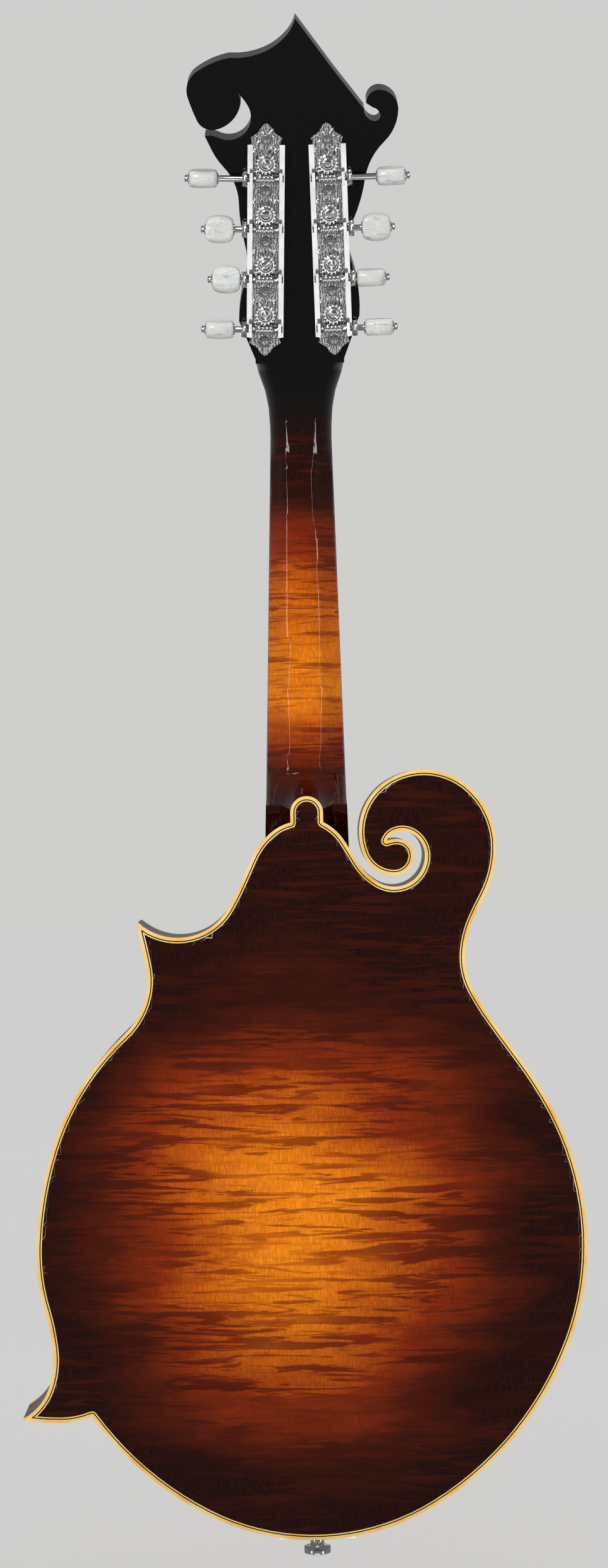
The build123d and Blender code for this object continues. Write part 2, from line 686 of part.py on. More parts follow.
# ------------------------------------------------------------------ tuning machines
def tuner_side(side):
    """Base plane of one machine strip: x to the right, y up the strip, z out of the back."""
    turn = Location((side * TUNER_HALF_SPREAD, TUNER_MIDDLE, 0), (0, 0, side * TUNER_SPLAY))
    return Plane(head_back.location * turn)


def on_strip(strip, x, y, z=0.0):
    """The strip's base plane, moved to a place on it."""
    return Plane(strip.location * Location((x, y, z)))


def worm_plane(strip, side, gear_y, along=0.0):
    """Plane across a worm: z along its axis and outwards, x up towards its gear."""
    local = Plane(origin=(side * along, gear_y - WORM_BELOW_GEAR, WORM_HEIGHT), x_dir=(0, 1, 0),
                  z_dir=(side, 0, 0))
    return Plane(strip.location * local.location)


GEAR_PLACES = [TUNER_PITCH * step for step in (1.5, 0.5, -0.5, -1.5)]
SCREW_PLACES = [TOP_SCREW] + [place - SCREW_BELOW_GEAR for place in GEAR_PLACES]
lug_inner = PLATE_WIDTH / 2 - RAIL_WIDTH
worm_length = 2 * lug_inner - 0.3
gear_from = WORM_HEIGHT - GEAR_WIDTH / 2
post_hole = POST_RADIUS + 0.5
bushing_radius = POST_RADIUS + 1.2
bushing_depth = 8.0


def post_holes(radius, depth, plane_of):
    """Round tools for all eight posts, from the plane that plane_of gives for a strip."""
    with BuildPart() as tools:
        for side in (-1, 1):
            strip = tuner_side(side)
            for gear_y in GEAR_PLACES:
                with BuildSketch(plane_of(strip, gear_y)):
                    Circle(radius)
                extrude(amount=-depth)
    return tools.part


def from_back(strip, gear_y):
    return on_strip(strip, 0, gear_y, 1)


def from_front(strip, gear_y):
    return on_strip(strip, 0, gear_y, -HEAD_THICKNESS + bushing_depth)


def from_overlay_out(strip, gear_y):
    return on_strip(strip, 0, gear_y, -HEAD_THICKNESS - OVERLAY_THICKNESS - BUSHING_FLANGE_HEIGHT)


overlay_front = head_face.offset(-OVERLAY_THICKNESS)
tail_face = Plane(origin=(0, middle_y, tail_z - LEG_GAP - TAILPIECE_THICKNESS), x_dir=(1, 0, 0),
                  z_dir=(0, 0, -1))


def screw_seats():
    """Where every small screw's head rests, its z pointing out of the wood."""
    seats = [on_strip(tuner_side(side), 0, place, PLATE_THICKNESS)
             for side in (-1, 1) for place in SCREW_PLACES]
    cover_front = Plane(overlay_front.offset(-ROD_COVER_THICKNESS).location
                        * Location((0, 0, 0), (0, 180, 0)))
    seats += [Plane(cover_front.location * Location((across, up, 0)))
              for across, up in ((-6.5, 6), (6.5, 6), (0, ROD_COVER_TOP - 5))]
    seats += [Plane(tail_face.location * Location((x, y, 0)))
              for x, y in ((-12, -12), (12, -12), (0, 9))]
    return seats


with BuildPart() as small_screws:
    for seat in screw_seats():
        with BuildSketch(seat):
            Circle(SCREW_HEAD_RADIUS)
        extrude(amount=SCREW_HEAD_HEIGHT)
        with BuildSketch(seat):
            Circle(SCREW_RADIUS)
        extrude(amount=-SCREW_LENGTH)
finish(small_screws.part, "small_screws")

with BuildPart() as tuner_bores:
    add(post_holes(post_hole, HEAD_THICKNESS + 2, from_back))
    add(post_holes(bushing_radius, bushing_depth + OVERLAY_THICKNESS + 1, from_front))
rod_end = neck_section(-ROD_PAST_NUT)
rod_length = octave - 6 + ROD_PAST_NUT
with BuildPart() as rod:
    with BuildSketch(rod_end):
        with Locations((0, -ROD_DEPTH)):
            Circle(ROD_RADIUS)
    extrude(amount=-rod_length)
    with BuildSketch(rod_end):
        with Locations((0, -ROD_DEPTH)):
            RegularPolygon(ROD_NUT_RADIUS, 6)
    extrude(amount=-ROD_NUT_LENGTH)
with BuildPart() as rod_room:
    with BuildSketch(rod_end.offset(6)):
        with Locations((0, 3 - (ROD_DEPTH + ROD_NUT_RADIUS + 3.5) / 2)):
            Rectangle(2 * ROD_NUT_RADIUS + 1.8, ROD_DEPTH + ROD_NUT_RADIUS + 3.5)
    extrude(amount=-ROD_NUT_LENGTH - 9)
finish(rod.part, "truss_rod")

with BuildPart() as neck:
    add(shaft.part)
    add(heel.part)
    add(riser.part)
    add(body_room.part, mode=Mode.SUBTRACT)
    add(handle.part)
    add(head_slab.part)
    add(tuner_bores.part, mode=Mode.SUBTRACT)
    add(rod_room.part, mode=Mode.SUBTRACT)
    add(rod.part, mode=Mode.SUBTRACT)
    add(small_screws.part, mode=Mode.SUBTRACT)
finish(neck.part, "neck")


def worm():
    """A worm on its own axis: root cylinder and one thread, centred, a gap facing +X."""
    start = WORM_PITCH / 2 - WORM_PITCH * (WORM_TURNS + 1) / 2
    foot = WORM_ROOT - THREAD_SINK
    depth = WORM_OUTER - foot
    with BuildPart() as thread:
        with BuildLine():
            Helix(WORM_PITCH, WORM_PITCH * WORM_TURNS, foot, center=(0, 0, start))
        with BuildSketch(Plane(origin=(foot, 0, start), x_dir=(1, 0, 0), z_dir=(0, 1, 0))):
            with BuildLine():
                Polyline((0, -THREAD_ROOT_WIDTH / 2), (depth, -THREAD_TIP_WIDTH / 2),
                         (depth, THREAD_TIP_WIDTH / 2), (0, THREAD_ROOT_WIDTH / 2), close=True)
            make_face()
        sweep(is_frenet=True)
    with BuildPart() as screw:
        Cylinder(WORM_ROOT, worm_length)
        add(thread.part)
    return screw.part


def gear_blank():
    """The toothed wheel, flat on the XY plane, a tooth pointing along -Y."""
    with BuildPart() as wheel:
        with BuildSketch():
            Circle(GEAR_ROOT)
            with PolarLocations(0, GEAR_TEETH, start_angle=-90):
                Polygon((GEAR_ROOT - 0.4, -TOOTH_ROOT_WIDTH / 2), (GEAR_OUTER,
                        -TOOTH_TIP_WIDTH / 2), (GEAR_OUTER, TOOTH_TIP_WIDTH / 2),
                        (GEAR_ROOT - 0.4, TOOTH_ROOT_WIDTH / 2), align=None)
        extrude(amount=GEAR_WIDTH)
    return wheel.part


worm_blank = worm()
wheel_blank = gear_blank()


def tuner_plate(side):
    """One base strip: flat plate with pointed ends, side rails, and two lugs for each worm."""
    strip = tuner_side(side)
    half = PLATE_WIDTH / 2
    with BuildPart() as base:
        with BuildSketch(strip):
            with BuildLine():
                right_side = ((half, RAIL_BOTTOM), (half, RAIL_TOP), (6.6, RAIL_TOP),
                              (6.6, 43.8), (7.2, 45.4), (3.8, 47.6), (1.6, 51.0), (0, 52.0))
                left_side = [(-x, y) for x, y in reversed(right_side[:-1])]
                foot = ((-6.6, RAIL_BOTTOM), (-6.6, RAIL_BOTTOM - 1.2), (-7.2, RAIL_BOTTOM - 2.8),
                        (-3.8, RAIL_BOTTOM - 5.0), (-1.6, RAIL_BOTTOM - 8.0), (0, RAIL_BOTTOM - 9.0))
                foot_right = [(-x, y) for x, y in reversed(foot[:-1])]
                Polyline(*right_side, *left_side, *foot, *foot_right, close=True)
            make_face()
        extrude(amount=PLATE_THICKNESS)
        for edge in (-1, 1):
            rail_x = edge * (half - RAIL_WIDTH / 2)
            with BuildSketch(strip):
                with Locations((rail_x, (RAIL_TOP + RAIL_BOTTOM) / 2)):
                    Rectangle(RAIL_WIDTH, RAIL_TOP - RAIL_BOTTOM)
            extrude(amount=RAIL_HEIGHT)
            with BuildSketch(strip):
                for gear_y in GEAR_PLACES:
                    with Locations((edge * (lug_inner + LUG_THICKNESS / 2),
                                    gear_y - WORM_BELOW_GEAR)):
                        Rectangle(LUG_THICKNESS, LUG_LENGTH)
            extrude(amount=LUG_HEIGHT)
        for gear_y in GEAR_PLACES:
            with BuildSketch(on_strip(strip, 0, gear_y)):
                Circle(POST_RADIUS + 2 * RUNNING_FIT)
            extrude(amount=PLATE_THICKNESS, mode=Mode.SUBTRACT)
            with BuildSketch(worm_plane(strip, side, gear_y)):
                Circle(SHAFT_RADIUS + RUNNING_FIT)
            extrude(amount=PLATE_WIDTH, both=True, mode=Mode.SUBTRACT)
        for place in SCREW_PLACES:
            with BuildSketch(on_strip(strip, 0, place)):
                Circle(SCREW_RADIUS)
            extrude(amount=PLATE_THICKNESS, mode=Mode.SUBTRACT)
    return base.part


def worm_shaft(strip, side, gear_y, reach):
    """Worm, its shaft through both lugs, the collar outside, and the stub inside the button."""
    outer_lug = lug_inner + LUG_THICKNESS
    collar_from = PLATE_WIDTH / 2 + COLLAR_GAP
    with BuildPart() as shaft_part:
        add(worm_blank.moved(worm_plane(strip, side, gear_y).location))
        with BuildSketch(worm_plane(strip, side, gear_y, -outer_lug - 0.6)):
            Circle(SHAFT_RADIUS)
        extrude(amount=outer_lug + 0.6 + PLATE_WIDTH / 2 + reach + STUB_SHARE * BUTTON_LENGTH)
        with BuildSketch(worm_plane(strip, side, gear_y, collar_from)):
            Circle(COLLAR_RADIUS)
        extrude(amount=COLLAR_LENGTH)
    return shaft_part.part


def button(strip, side, gear_y, reach, turn):
    """The oval button with the metal cap on its end."""
    base = worm_plane(strip, side, gear_y, PLATE_WIDTH / 2 + reach)
    turned = Plane(base.location * Location((0, 0, 0), (0, 0, turn)))
    with BuildPart() as knob:
        for share, width in BUTTON_OUTLINE:
            with BuildSketch(turned.offset(share * BUTTON_LENGTH)):
                RectangleRounded(width * BUTTON_WIDTH, BUTTON_THICKNESS, 0.42 * BUTTON_THICKNESS)
        loft(ruled=True)
        with BuildSketch(base.offset(BUTTON_LENGTH)):
            Circle(BUTTON_CAP_RADIUS)
        extrude(amount=BUTTON_CAP)
        with BuildSketch(base):
            Circle(SHAFT_RADIUS)
        extrude(amount=STUB_SHARE * BUTTON_LENGTH, mode=Mode.SUBTRACT)
    return knob.part


def gear_post(strip, gear_y):
    """Gear, its shoulder, the screw on top, and the post that runs out of the head's front."""
    with BuildPart() as post:
        add(wheel_blank.moved(on_strip(strip, 0, gear_y, gear_from).location))
        with BuildSketch(on_strip(strip, 0, gear_y, PLATE_THICKNESS + COLLAR_GAP)):
            Circle(POST_RADIUS + POST_SHOULDER)
        extrude(amount=gear_from - PLATE_THICKNESS - COLLAR_GAP)
        with BuildSketch(on_strip(strip, 0, gear_y, gear_from + GEAR_WIDTH)):
            Circle(GEAR_SCREW_RADIUS)
        extrude(amount=GEAR_SCREW_HEIGHT)
        with BuildSketch(on_strip(strip, 0, gear_y, gear_from)):
            Circle(POST_RADIUS)
        extrude(amount=-(gear_from + HEAD_THICKNESS + OVERLAY_THICKNESS + POST_ABOVE_HEAD))
        with BuildSketch(on_strip(strip, 0, gear_y, gear_from + GEAR_WIDTH + GEAR_SCREW_HEIGHT)):
            Rectangle(2 * GEAR_SCREW_RADIUS + 1, SCREW_SLOT)
        extrude(amount=-GEAR_SCREW_HEIGHT / 2, mode=Mode.SUBTRACT)
    return post.part


for side, word in ((-1, "left"), (1, "right")):
    finish(tuner_plate(side), f"tuner_plate_{word}")
    strip = tuner_side(side)
    for count, gear_y in enumerate(GEAR_PLACES):
        reach = BUTTON_REACH[count]
        name = f"{word}_{count + 1}"
        finish(worm_shaft(strip, side, gear_y, reach), f"worm_shaft_{name}")
        finish(button(strip, side, gear_y, reach, BUTTON_TURNS[word][count]), f"button_{name}")
        finish(gear_post(strip, gear_y), f"gear_post_{name}")

with BuildPart() as bushings:
    add(post_holes(bushing_radius, bushing_depth + OVERLAY_THICKNESS, from_front))
    add(post_holes(bushing_radius + BUSHING_FLANGE, -BUSHING_FLANGE_HEIGHT, from_overlay_out))
    add(post_holes(POST_RADIUS + RUNNING_FIT, 40, from_back), mode=Mode.SUBTRACT)
finish(bushings.part, "post_bushings")

with BuildPart() as head_overlay:
    with BuildSketch(head_face):
        add(head_sketch)
    extrude(amount=-OVERLAY_THICKNESS)
    add(tuner_bores.part, mode=Mode.SUBTRACT)
    add(rod_room.part, mode=Mode.SUBTRACT)
    add(small_screws.part, mode=Mode.SUBTRACT)
finish(head_overlay.part, "head_overlay")

with BuildPart() as rod_cover:
    with BuildSketch(overlay_front):
        with BuildLine():
            Line((-COVER_PLATE_HALF, 3), (COVER_PLATE_HALF, 3))
            Bezier((COVER_PLATE_HALF, 3), (COVER_PLATE_HALF - 3, 16), (4.5, 20), (0, ROD_COVER_TOP))
            Bezier((0, ROD_COVER_TOP), (-4.5, 20), (-COVER_PLATE_HALF + 3, 16), (-COVER_PLATE_HALF, 3))
        make_face()
    extrude(amount=-ROD_COVER_THICKNESS)
    add(small_screws.part, mode=Mode.SUBTRACT)
finish(rod_cover.part, "truss_rod_cover")

# ------------------------------------------------------------------ nut and strings
COURSES = (("g", 1.5), ("d", 0.5), ("a", -0.5), ("e", -1.5))
hook_y = top_edge_y + TAILPIECE_LIFT + TAILPIECE_THICKNESS + HOOK_HEIGHT - 1.5
hook_z = tail_z + HOOK_FROM_TAIL


def string_places():
    """Course letter, x at the nut and x at the bridge of all eight strings, bass side first."""
    places = []
    for letter, step in COURSES:
        for pair in (0.5, -0.5):
            places.append((letter, step * COURSE_PITCH_NUT + pair * PAIR_GAP_NUT,
                           step * COURSE_PITCH_BRIDGE + pair * PAIR_GAP_BRIDGE))
    return places


# The machine that each string runs to: the side, and its place down the strip.
STRING_POSTS = ((1, 3), (1, 2), (1, 1), (1, 0), (-1, 0), (-1, 1), (-1, 2), (-1, 3))


def string_route(letter, nut_x, bridge_x, side, count):
    """Corner points of a string: hook, bridge, nut, and the inner side of its post."""
    radius = STRING_RADII[letter]
    hook = (bridge_x * HOOK_SPREAD, hook_y, hook_z + 1)
    bridge = neck_face.from_local_coords((bridge_x, SCALE_LENGTH, STRING_RISE + radius))
    over_nut = neck_face.from_local_coords(
        (nut_x, -NUT_LENGTH / 2, BOARD_THICKNESS + NUT_ACTION + radius))
    strip = tuner_side(side)
    wrap = POST_RADIUS + STRING_GAP + radius
    post = on_strip(strip, -side * wrap, GEAR_PLACES[count],
                    -HEAD_THICKNESS - OVERLAY_THICKNESS - WRAP_HEIGHT)
    return [Vector(hook), bridge, over_nut, post.origin]


def string_solid(letter, route, side, count):
    """One string and the turns it takes around its post."""
    radius = STRING_RADII[letter]
    strip = tuner_side(side)
    with BuildPart() as string:
        with BuildLine() as path:
            FilletPolyline(*route, radius=STRING_BEND)
        with BuildSketch(Plane(origin=route[0], z_dir=route[1] - route[0])):
            Circle(radius)
        sweep(path=path.line)
        for turn in range(WRAP_TURNS):
            depth = WRAP_HEIGHT - 2.1 * radius * (turn + 1)
            with Locations(on_strip(strip, 0, GEAR_PLACES[count],
                                    -HEAD_THICKNESS - OVERLAY_THICKNESS - depth)):
                Torus(POST_RADIUS + STRING_GAP + radius, radius)
    return string.part


strings = {"wound": [], "plain": []}
for (letter, nut_x, bridge_x), (side, count) in zip(string_places(), STRING_POSTS):
    route = string_route(letter, nut_x, bridge_x, side, count)
    kind = "wound" if letter in "gd" else "plain"
    strings[kind].append(string_solid(letter, route, side, count))
for kind, pieces in strings.items():
    with BuildPart() as bundle:
        for piece in pieces:
            add(piece)
    finish(bundle.part, f"strings_{kind}")

with BuildPart() as nut:
    with BuildSketch(neck_face):
        with Locations((0, -NUT_LENGTH / 2)):
            Rectangle(NUT_WIDTH, NUT_LENGTH)
    extrude(amount=BOARD_THICKNESS + NUT_ABOVE_BOARD)
    fillet(nut.edges().filter_by(Axis.X).group_by(Axis.Y)[-1], 0.5)
    for letter, nut_x, bridge_x in string_places():
        slot_floor = BOARD_THICKNESS + NUT_ACTION - 0.1
        with BuildSketch(neck_face.offset(slot_floor)):
            with Locations((nut_x, 0)):
                Rectangle(2 * STRING_RADII[letter] + 0.3, NUT_LENGTH + 1)
        extrude(amount=3, mode=Mode.SUBTRACT)
        with BuildSketch(neck_face.offset(slot_floor - NUT_SLOPE)):
            with Locations((nut_x, -NUT_LENGTH)):
                Rectangle(2 * STRING_RADII[letter] + NUT_FLARE, NUT_LENGTH)
        extrude(amount=3 + NUT_SLOPE, mode=Mode.SUBTRACT)
finish(nut.part, "nut")

# ------------------------------------------------------------------ bridge
saddle_top_y = string_y - STRING_GAP
saddle_foot_y = saddle_top_y - SADDLE_HEIGHT
wheel_top_y = saddle_foot_y - STRING_GAP
wheel_foot_y = wheel_top_y - WHEEL_THICKNESS
base_top_y = wheel_foot_y - BRIDGE_TRAVEL - STRING_GAP


def bridge_plane(y):
    """Sketch plane across the bridge: x to the right, y up the instrument, towards the back."""
    return Plane(origin=(0, y, bridge_z), x_dir=(1, 0, 0), z_dir=(0, -1, 0))


bridge_section = Plane(origin=(0, 0, bridge_z - BRIDGE_BASE_WIDTH / 2), x_dir=(1, 0, 0),
                       z_dir=(0, 0, 1))
post_places = [(-BRIDGE_POST_SPREAD, 0), (BRIDGE_POST_SPREAD, 0)]
with BuildPart() as bridge_posts:
    with BuildSketch(bridge_plane(saddle_foot_y + POST_IN_SADDLE)):
        with Locations(*post_places):
            Circle(BRIDGE_POST_RADIUS)
    extrude(amount=POST_IN_SADDLE + saddle_foot_y - base_top_y + POST_IN_BASE)
finish(bridge_posts.part, "bridge_posts")

with BuildPart() as bridge_base:
    with BuildSketch(bridge_section):
        with BuildLine():
            half, shoulder = BRIDGE_BASE_LENGTH / 2, BRIDGE_POST_SPREAD + 8
            floor = top_crown_y - TOP_ARCH
            Polyline((-half, floor), (-half, base_top_y - 7), (-shoulder, base_top_y),
                     (shoulder, base_top_y), (half, base_top_y - 7), (half, floor), close=True)
        make_face()
        with Locations((0, top_crown_y - 9)):
            Rectangle(BRIDGE_BASE_LENGTH / 2, 24, mode=Mode.SUBTRACT)
    extrude(amount=BRIDGE_BASE_WIDTH)
    add(top_belly, mode=Mode.SUBTRACT)
    add(bridge_posts.part, mode=Mode.SUBTRACT)
finish(bridge_base.part, "bridge_base")

with BuildPart() as bridge_saddle:
    with BuildSketch(bridge_plane(saddle_foot_y)):
        Rectangle(SADDLE_LENGTH, SADDLE_WIDTH)
    extrude(amount=-SADDLE_HEIGHT)
    crown_edges = bridge_saddle.edges().filter_by(Axis.X).group_by(Axis.Y)[-1]
    chamfer(crown_edges, (SADDLE_WIDTH - SADDLE_CROWN) / 2)
    with BuildSketch(bridge_plane(saddle_foot_y)):
        with Locations(*post_places):
            Circle(BRIDGE_POST_RADIUS + POST_FIT)
    extrude(amount=-POST_IN_SADDLE - BRIDGE_TRAVEL - RUNNING_FIT, mode=Mode.SUBTRACT)
finish(bridge_saddle.part, "bridge_saddle")

for word, place in (("treble", post_places[0]), ("bass", post_places[1])):
    with BuildPart() as wheel:
        with BuildSketch(bridge_plane(wheel_top_y)):
            with Locations(place):
                Circle(WHEEL_RADIUS)
                Circle(BRIDGE_POST_RADIUS + POST_FIT, mode=Mode.SUBTRACT)
                with PolarLocations(WHEEL_RADIUS, 24):
                    Circle(0.35, mode=Mode.SUBTRACT)
        extrude(amount=WHEEL_THICKNESS)
    finish(wheel.part, f"bridge_wheel_{word}")

# ------------------------------------------------------------------ tailpiece and end pin
with BuildPart() as tailpiece_base:
    with BuildSketch(body_plane(top_edge_y + TAILPIECE_LIFT)):
        with Locations((0, (TAILPIECE_LENGTH - TAILPIECE_THICKNESS - LEG_GAP) / 2)):
            Rectangle(TAILPIECE_WIDTH, TAILPIECE_LENGTH + TAILPIECE_THICKNESS + LEG_GAP)
    extrude(amount=-TAILPIECE_THICKNESS)
    with BuildSketch(body_plane(top_edge_y + TAILPIECE_LIFT + TAILPIECE_THICKNESS)):
        with Locations((0, -LEG_GAP - TAILPIECE_THICKNESS / 2)):
            Rectangle(TAILPIECE_WIDTH, TAILPIECE_THICKNESS)
    extrude(amount=TAILPIECE_LEG)
    for letter, nut_x, bridge_x in string_places():
        with BuildSketch(body_plane(top_edge_y + TAILPIECE_LIFT)):
            with Locations((bridge_x * HOOK_SPREAD, HOOK_FROM_TAIL - HOOK_WIDTH / 2)):
                Rectangle(HOOK_WIDTH, HOOK_WIDTH)
        extrude(amount=-TAILPIECE_THICKNESS - HOOK_HEIGHT)
    with Locations((0, middle_y, tail_z)):
        Cylinder(PIN_WAIST_RADIUS + RUNNING_FIT, 10, mode=Mode.SUBTRACT)
    add(small_screws.part, mode=Mode.SUBTRACT)
finish(tailpiece_base.part, "tailpiece_base")

cover_side = Plane(origin=(-TAILPIECE_WIDTH / 2 - COVER_GAP - COVER_WALL, top_edge_y, tail_z),
                   x_dir=(0, 0, 1), z_dir=(1, 0, 0))
cover_width = TAILPIECE_WIDTH + 2 * (COVER_GAP + COVER_WALL)
with BuildPart() as tailpiece_cover:
    with BuildSketch(cover_side):
        with BuildLine():
            Polyline((COVER_TAIL, -4.2), (COVER_TAIL, -COVER_LOW), (COVER_TAIL + COVER_LENGTH,
                     -COVER_HIGH), (COVER_TAIL + COVER_LENGTH, -4.2), close=True)
        make_face()
    extrude(amount=cover_width)
    inner = cover_side.offset(COVER_WALL)
    with BuildSketch(inner):
        with BuildLine():
            Polyline((COVER_TAIL + COVER_WALL, 1), (COVER_TAIL + COVER_WALL, -COVER_LOW + COVER_WALL),
                     (COVER_TAIL + COVER_LENGTH + 1, -COVER_HIGH + COVER_WALL),
                     (COVER_TAIL + COVER_LENGTH + 1, 1), close=True)
        make_face()
    extrude(amount=cover_width - 2 * COVER_WALL, mode=Mode.SUBTRACT)
finish(tailpiece_cover.part, "tailpiece_cover")

with BuildPart() as end_pin:
    with BuildSketch(Plane(origin=(0, middle_y, tail_z), x_dir=(1, 0, 0), z_dir=(0, 1, 0))):
        with BuildLine():
            seat = LEG_GAP + TAILPIECE_THICKNESS
            disc_end = PIN_REACH - PIN_DOME
            disc_start = disc_end - PIN_DISC_LENGTH
            Polyline((0, -PIN_SHANK_LENGTH), (PIN_WAIST_RADIUS, -PIN_SHANK_LENGTH),
                     (PIN_WAIST_RADIUS, seat), (PIN_FLANGE_RADIUS, seat),
                     (PIN_FLANGE_RADIUS, seat + PIN_FLANGE_LENGTH),
                     (PIN_WAIST_RADIUS, seat + PIN_FLANGE_LENGTH + 0.8),
                     (PIN_WAIST_RADIUS, disc_start), (PIN_DISC_RADIUS, disc_start),
                     (PIN_DISC_RADIUS, disc_end))
            TangentArc((0, PIN_REACH), (PIN_DISC_RADIUS, disc_end), tangent=(1, 0))
            Line((0, PIN_REACH), (0, -PIN_SHANK_LENGTH))
        make_face()
    revolve(axis=Axis((0, middle_y, tail_z), (0, 0, 1)))
finish(end_pin.part, "end_pin")
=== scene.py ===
import json
from math import cos, pi, radians, sqrt

import bmesh
import bpy
from mathutils import Matrix, Vector
from mathutils.bvhtree import BVHTree
from mathutils.kdtree import KDTree

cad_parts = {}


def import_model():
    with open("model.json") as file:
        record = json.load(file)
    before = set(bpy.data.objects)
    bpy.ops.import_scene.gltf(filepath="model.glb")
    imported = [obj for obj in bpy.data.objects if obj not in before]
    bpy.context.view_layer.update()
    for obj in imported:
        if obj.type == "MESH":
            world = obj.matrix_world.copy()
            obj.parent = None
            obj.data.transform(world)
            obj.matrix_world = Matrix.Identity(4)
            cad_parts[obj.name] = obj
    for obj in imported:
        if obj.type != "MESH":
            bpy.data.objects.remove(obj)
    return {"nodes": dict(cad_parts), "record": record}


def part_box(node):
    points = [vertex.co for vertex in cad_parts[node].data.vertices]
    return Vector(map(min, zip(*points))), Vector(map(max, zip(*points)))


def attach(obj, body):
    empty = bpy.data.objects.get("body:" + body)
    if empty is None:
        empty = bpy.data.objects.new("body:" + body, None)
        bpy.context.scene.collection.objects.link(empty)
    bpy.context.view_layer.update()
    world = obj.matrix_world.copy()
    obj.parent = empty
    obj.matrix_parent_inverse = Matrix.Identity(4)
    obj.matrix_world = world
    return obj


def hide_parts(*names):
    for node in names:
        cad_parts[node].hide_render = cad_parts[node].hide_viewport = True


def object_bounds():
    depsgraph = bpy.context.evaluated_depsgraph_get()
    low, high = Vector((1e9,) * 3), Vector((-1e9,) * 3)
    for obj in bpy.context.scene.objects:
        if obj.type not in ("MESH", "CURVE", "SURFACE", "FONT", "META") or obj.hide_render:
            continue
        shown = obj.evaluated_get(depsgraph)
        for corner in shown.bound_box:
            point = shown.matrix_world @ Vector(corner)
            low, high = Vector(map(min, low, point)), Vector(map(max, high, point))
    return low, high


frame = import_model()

bl_info = {
    "name": "Scroll mandolin",
    "version": (1, 0, 0),
    "blender": (4, 5, 0),
    "location": "3D View > Sidebar > Mandolin",
    "description": "Lacquer, metal, pearl and string finishes for a carved mandolin",
    "category": "Object",
}

# ------------------------------------------------------------------ what the frame says
RECORD = frame["record"]
BODY_OF = {node: body for body, nodes in RECORD["behaviour"]["bodies"].items() for node in nodes}
SLOT_OF = {entry["node"]: entry["material_slot"] for entry in RECORD["subparts"]}
JOINTS = {joint["name"]: joint for joint in RECORD["behaviour"]["joints"]}
CAD_LOW, CAD_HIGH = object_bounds()
BACK_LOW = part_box("back_plate")[0]
TOP_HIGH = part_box("top_plate")[1]
RIBS_LOW, RIBS_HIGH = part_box("rib_scroll_side")
TAIL_Z = RIBS_LOW.z
SIDES = ("left", "right")
PLACES = (1, 2, 3, 4)

MM = 0.001
WELD = 0.01 * MM
SLICE_WELD = 0.001 * MM

# Machines, measured from a post's seat on its plate.
SCREW_BELOW_GEAR = 13.4 * MM
TOP_SCREW_ABOVE_GEAR = 10.1 * MM
PLATE_THICKNESS = 1.2 * MM
GEAR_TOP = 6.0 * MM
BUTTON_CAP = 2.2 * MM
BUTTON_ROUNDING = 1.1 * MM
SHAFT_CLEAR = 3.0 * MM

# The round back of the neck, between heel and head.
HEEL_TOP_Z = TAIL_Z + 352 * MM
NECK_TOP_Z = -9 * MM
NECK_RING = 4 * MM
NECK_STRIP = 1.6 * MM
NECK_EASED_HALF = 11.5 * MM
NECK_EASING = 2.5 * MM
NECK_EASING_FADE = 8 * MM

# The plates' arches.
ARCH_RADIUS = 116 * MM
ARCH_REACH = 178 * MM
CROWN_ABOVE_TAIL = 132.6 * MM
MARGIN = 2 * MM
MARGIN_BLEND = 24 * MM
PLATE_GRID = 3.5 * MM

# The burst on the back: its middle and how far it reaches.
BURST_MIDDLE = (-6 * MM, BACK_LOW.y, TAIL_Z + 142 * MM)
BURST_REACH = (0.112, 1.0, 0.128)

# What the camera sees from top to bottom, at the plane of the back's edge.
VIEW_HEIGHT = 0.7184
SENSOR = 36.0


# ------------------------------------------------------------------ user settings
class MandolinLacquer(bpy.types.PropertyGroup):
    centre: bpy.props.FloatVectorProperty(
        name="Burst centre", description="Colour at the middle of the sunburst",
        default=(0.86, 0.235, 0.006), size=3, subtype="COLOR", min=0, max=1)
    middle: bpy.props.FloatVectorProperty(
        name="Burst middle", description="Red-brown between the middle and the edge",
        default=(0.24, 0.024, 0.0015), size=3, subtype="COLOR", min=0, max=1)
    edge: bpy.props.FloatVectorProperty(
        name="Burst edge", description="Near-black at the edge",
        default=(0.0075, 0.0010, 0.0005), size=3, subtype="COLOR", min=0, max=1)
    flame: bpy.props.FloatProperty(
        name="Flame", description="How strongly the figure of the maple shows",
        default=0.8, min=0, max=1, subtype="FACTOR")
    flame_width: bpy.props.FloatProperty(
        name="Flame width", description="Mean width of one flame stripe",
        default=0.0062, min=0.001, max=0.03, unit="LENGTH", subtype="DISTANCE")
    gloss: bpy.props.FloatProperty(
        name="Lacquer roughness", description="Roughness of the clear lacquer",
        default=0.045, min=0, max=1, subtype="FACTOR")


class MandolinTrim(bpy.types.PropertyGroup):
    binding: bpy.props.FloatVectorProperty(
        name="Binding", description="Aged cream of the bindings",
        default=(0.86, 0.56, 0.17), size=3, subtype="COLOR", min=0, max=1)
    pearl: bpy.props.FloatVectorProperty(
        name="Pearl", description="Body colour of the pearl buttons",
        default=(0.56, 0.58, 0.58), size=3, subtype="COLOR", min=0, max=1)
    softening: bpy.props.FloatProperty(
        name="Edge softening", description="Radius of the small rounding on moulded edges",
        default=0.0003, min=0, max=0.002, unit="LENGTH", subtype="DISTANCE")


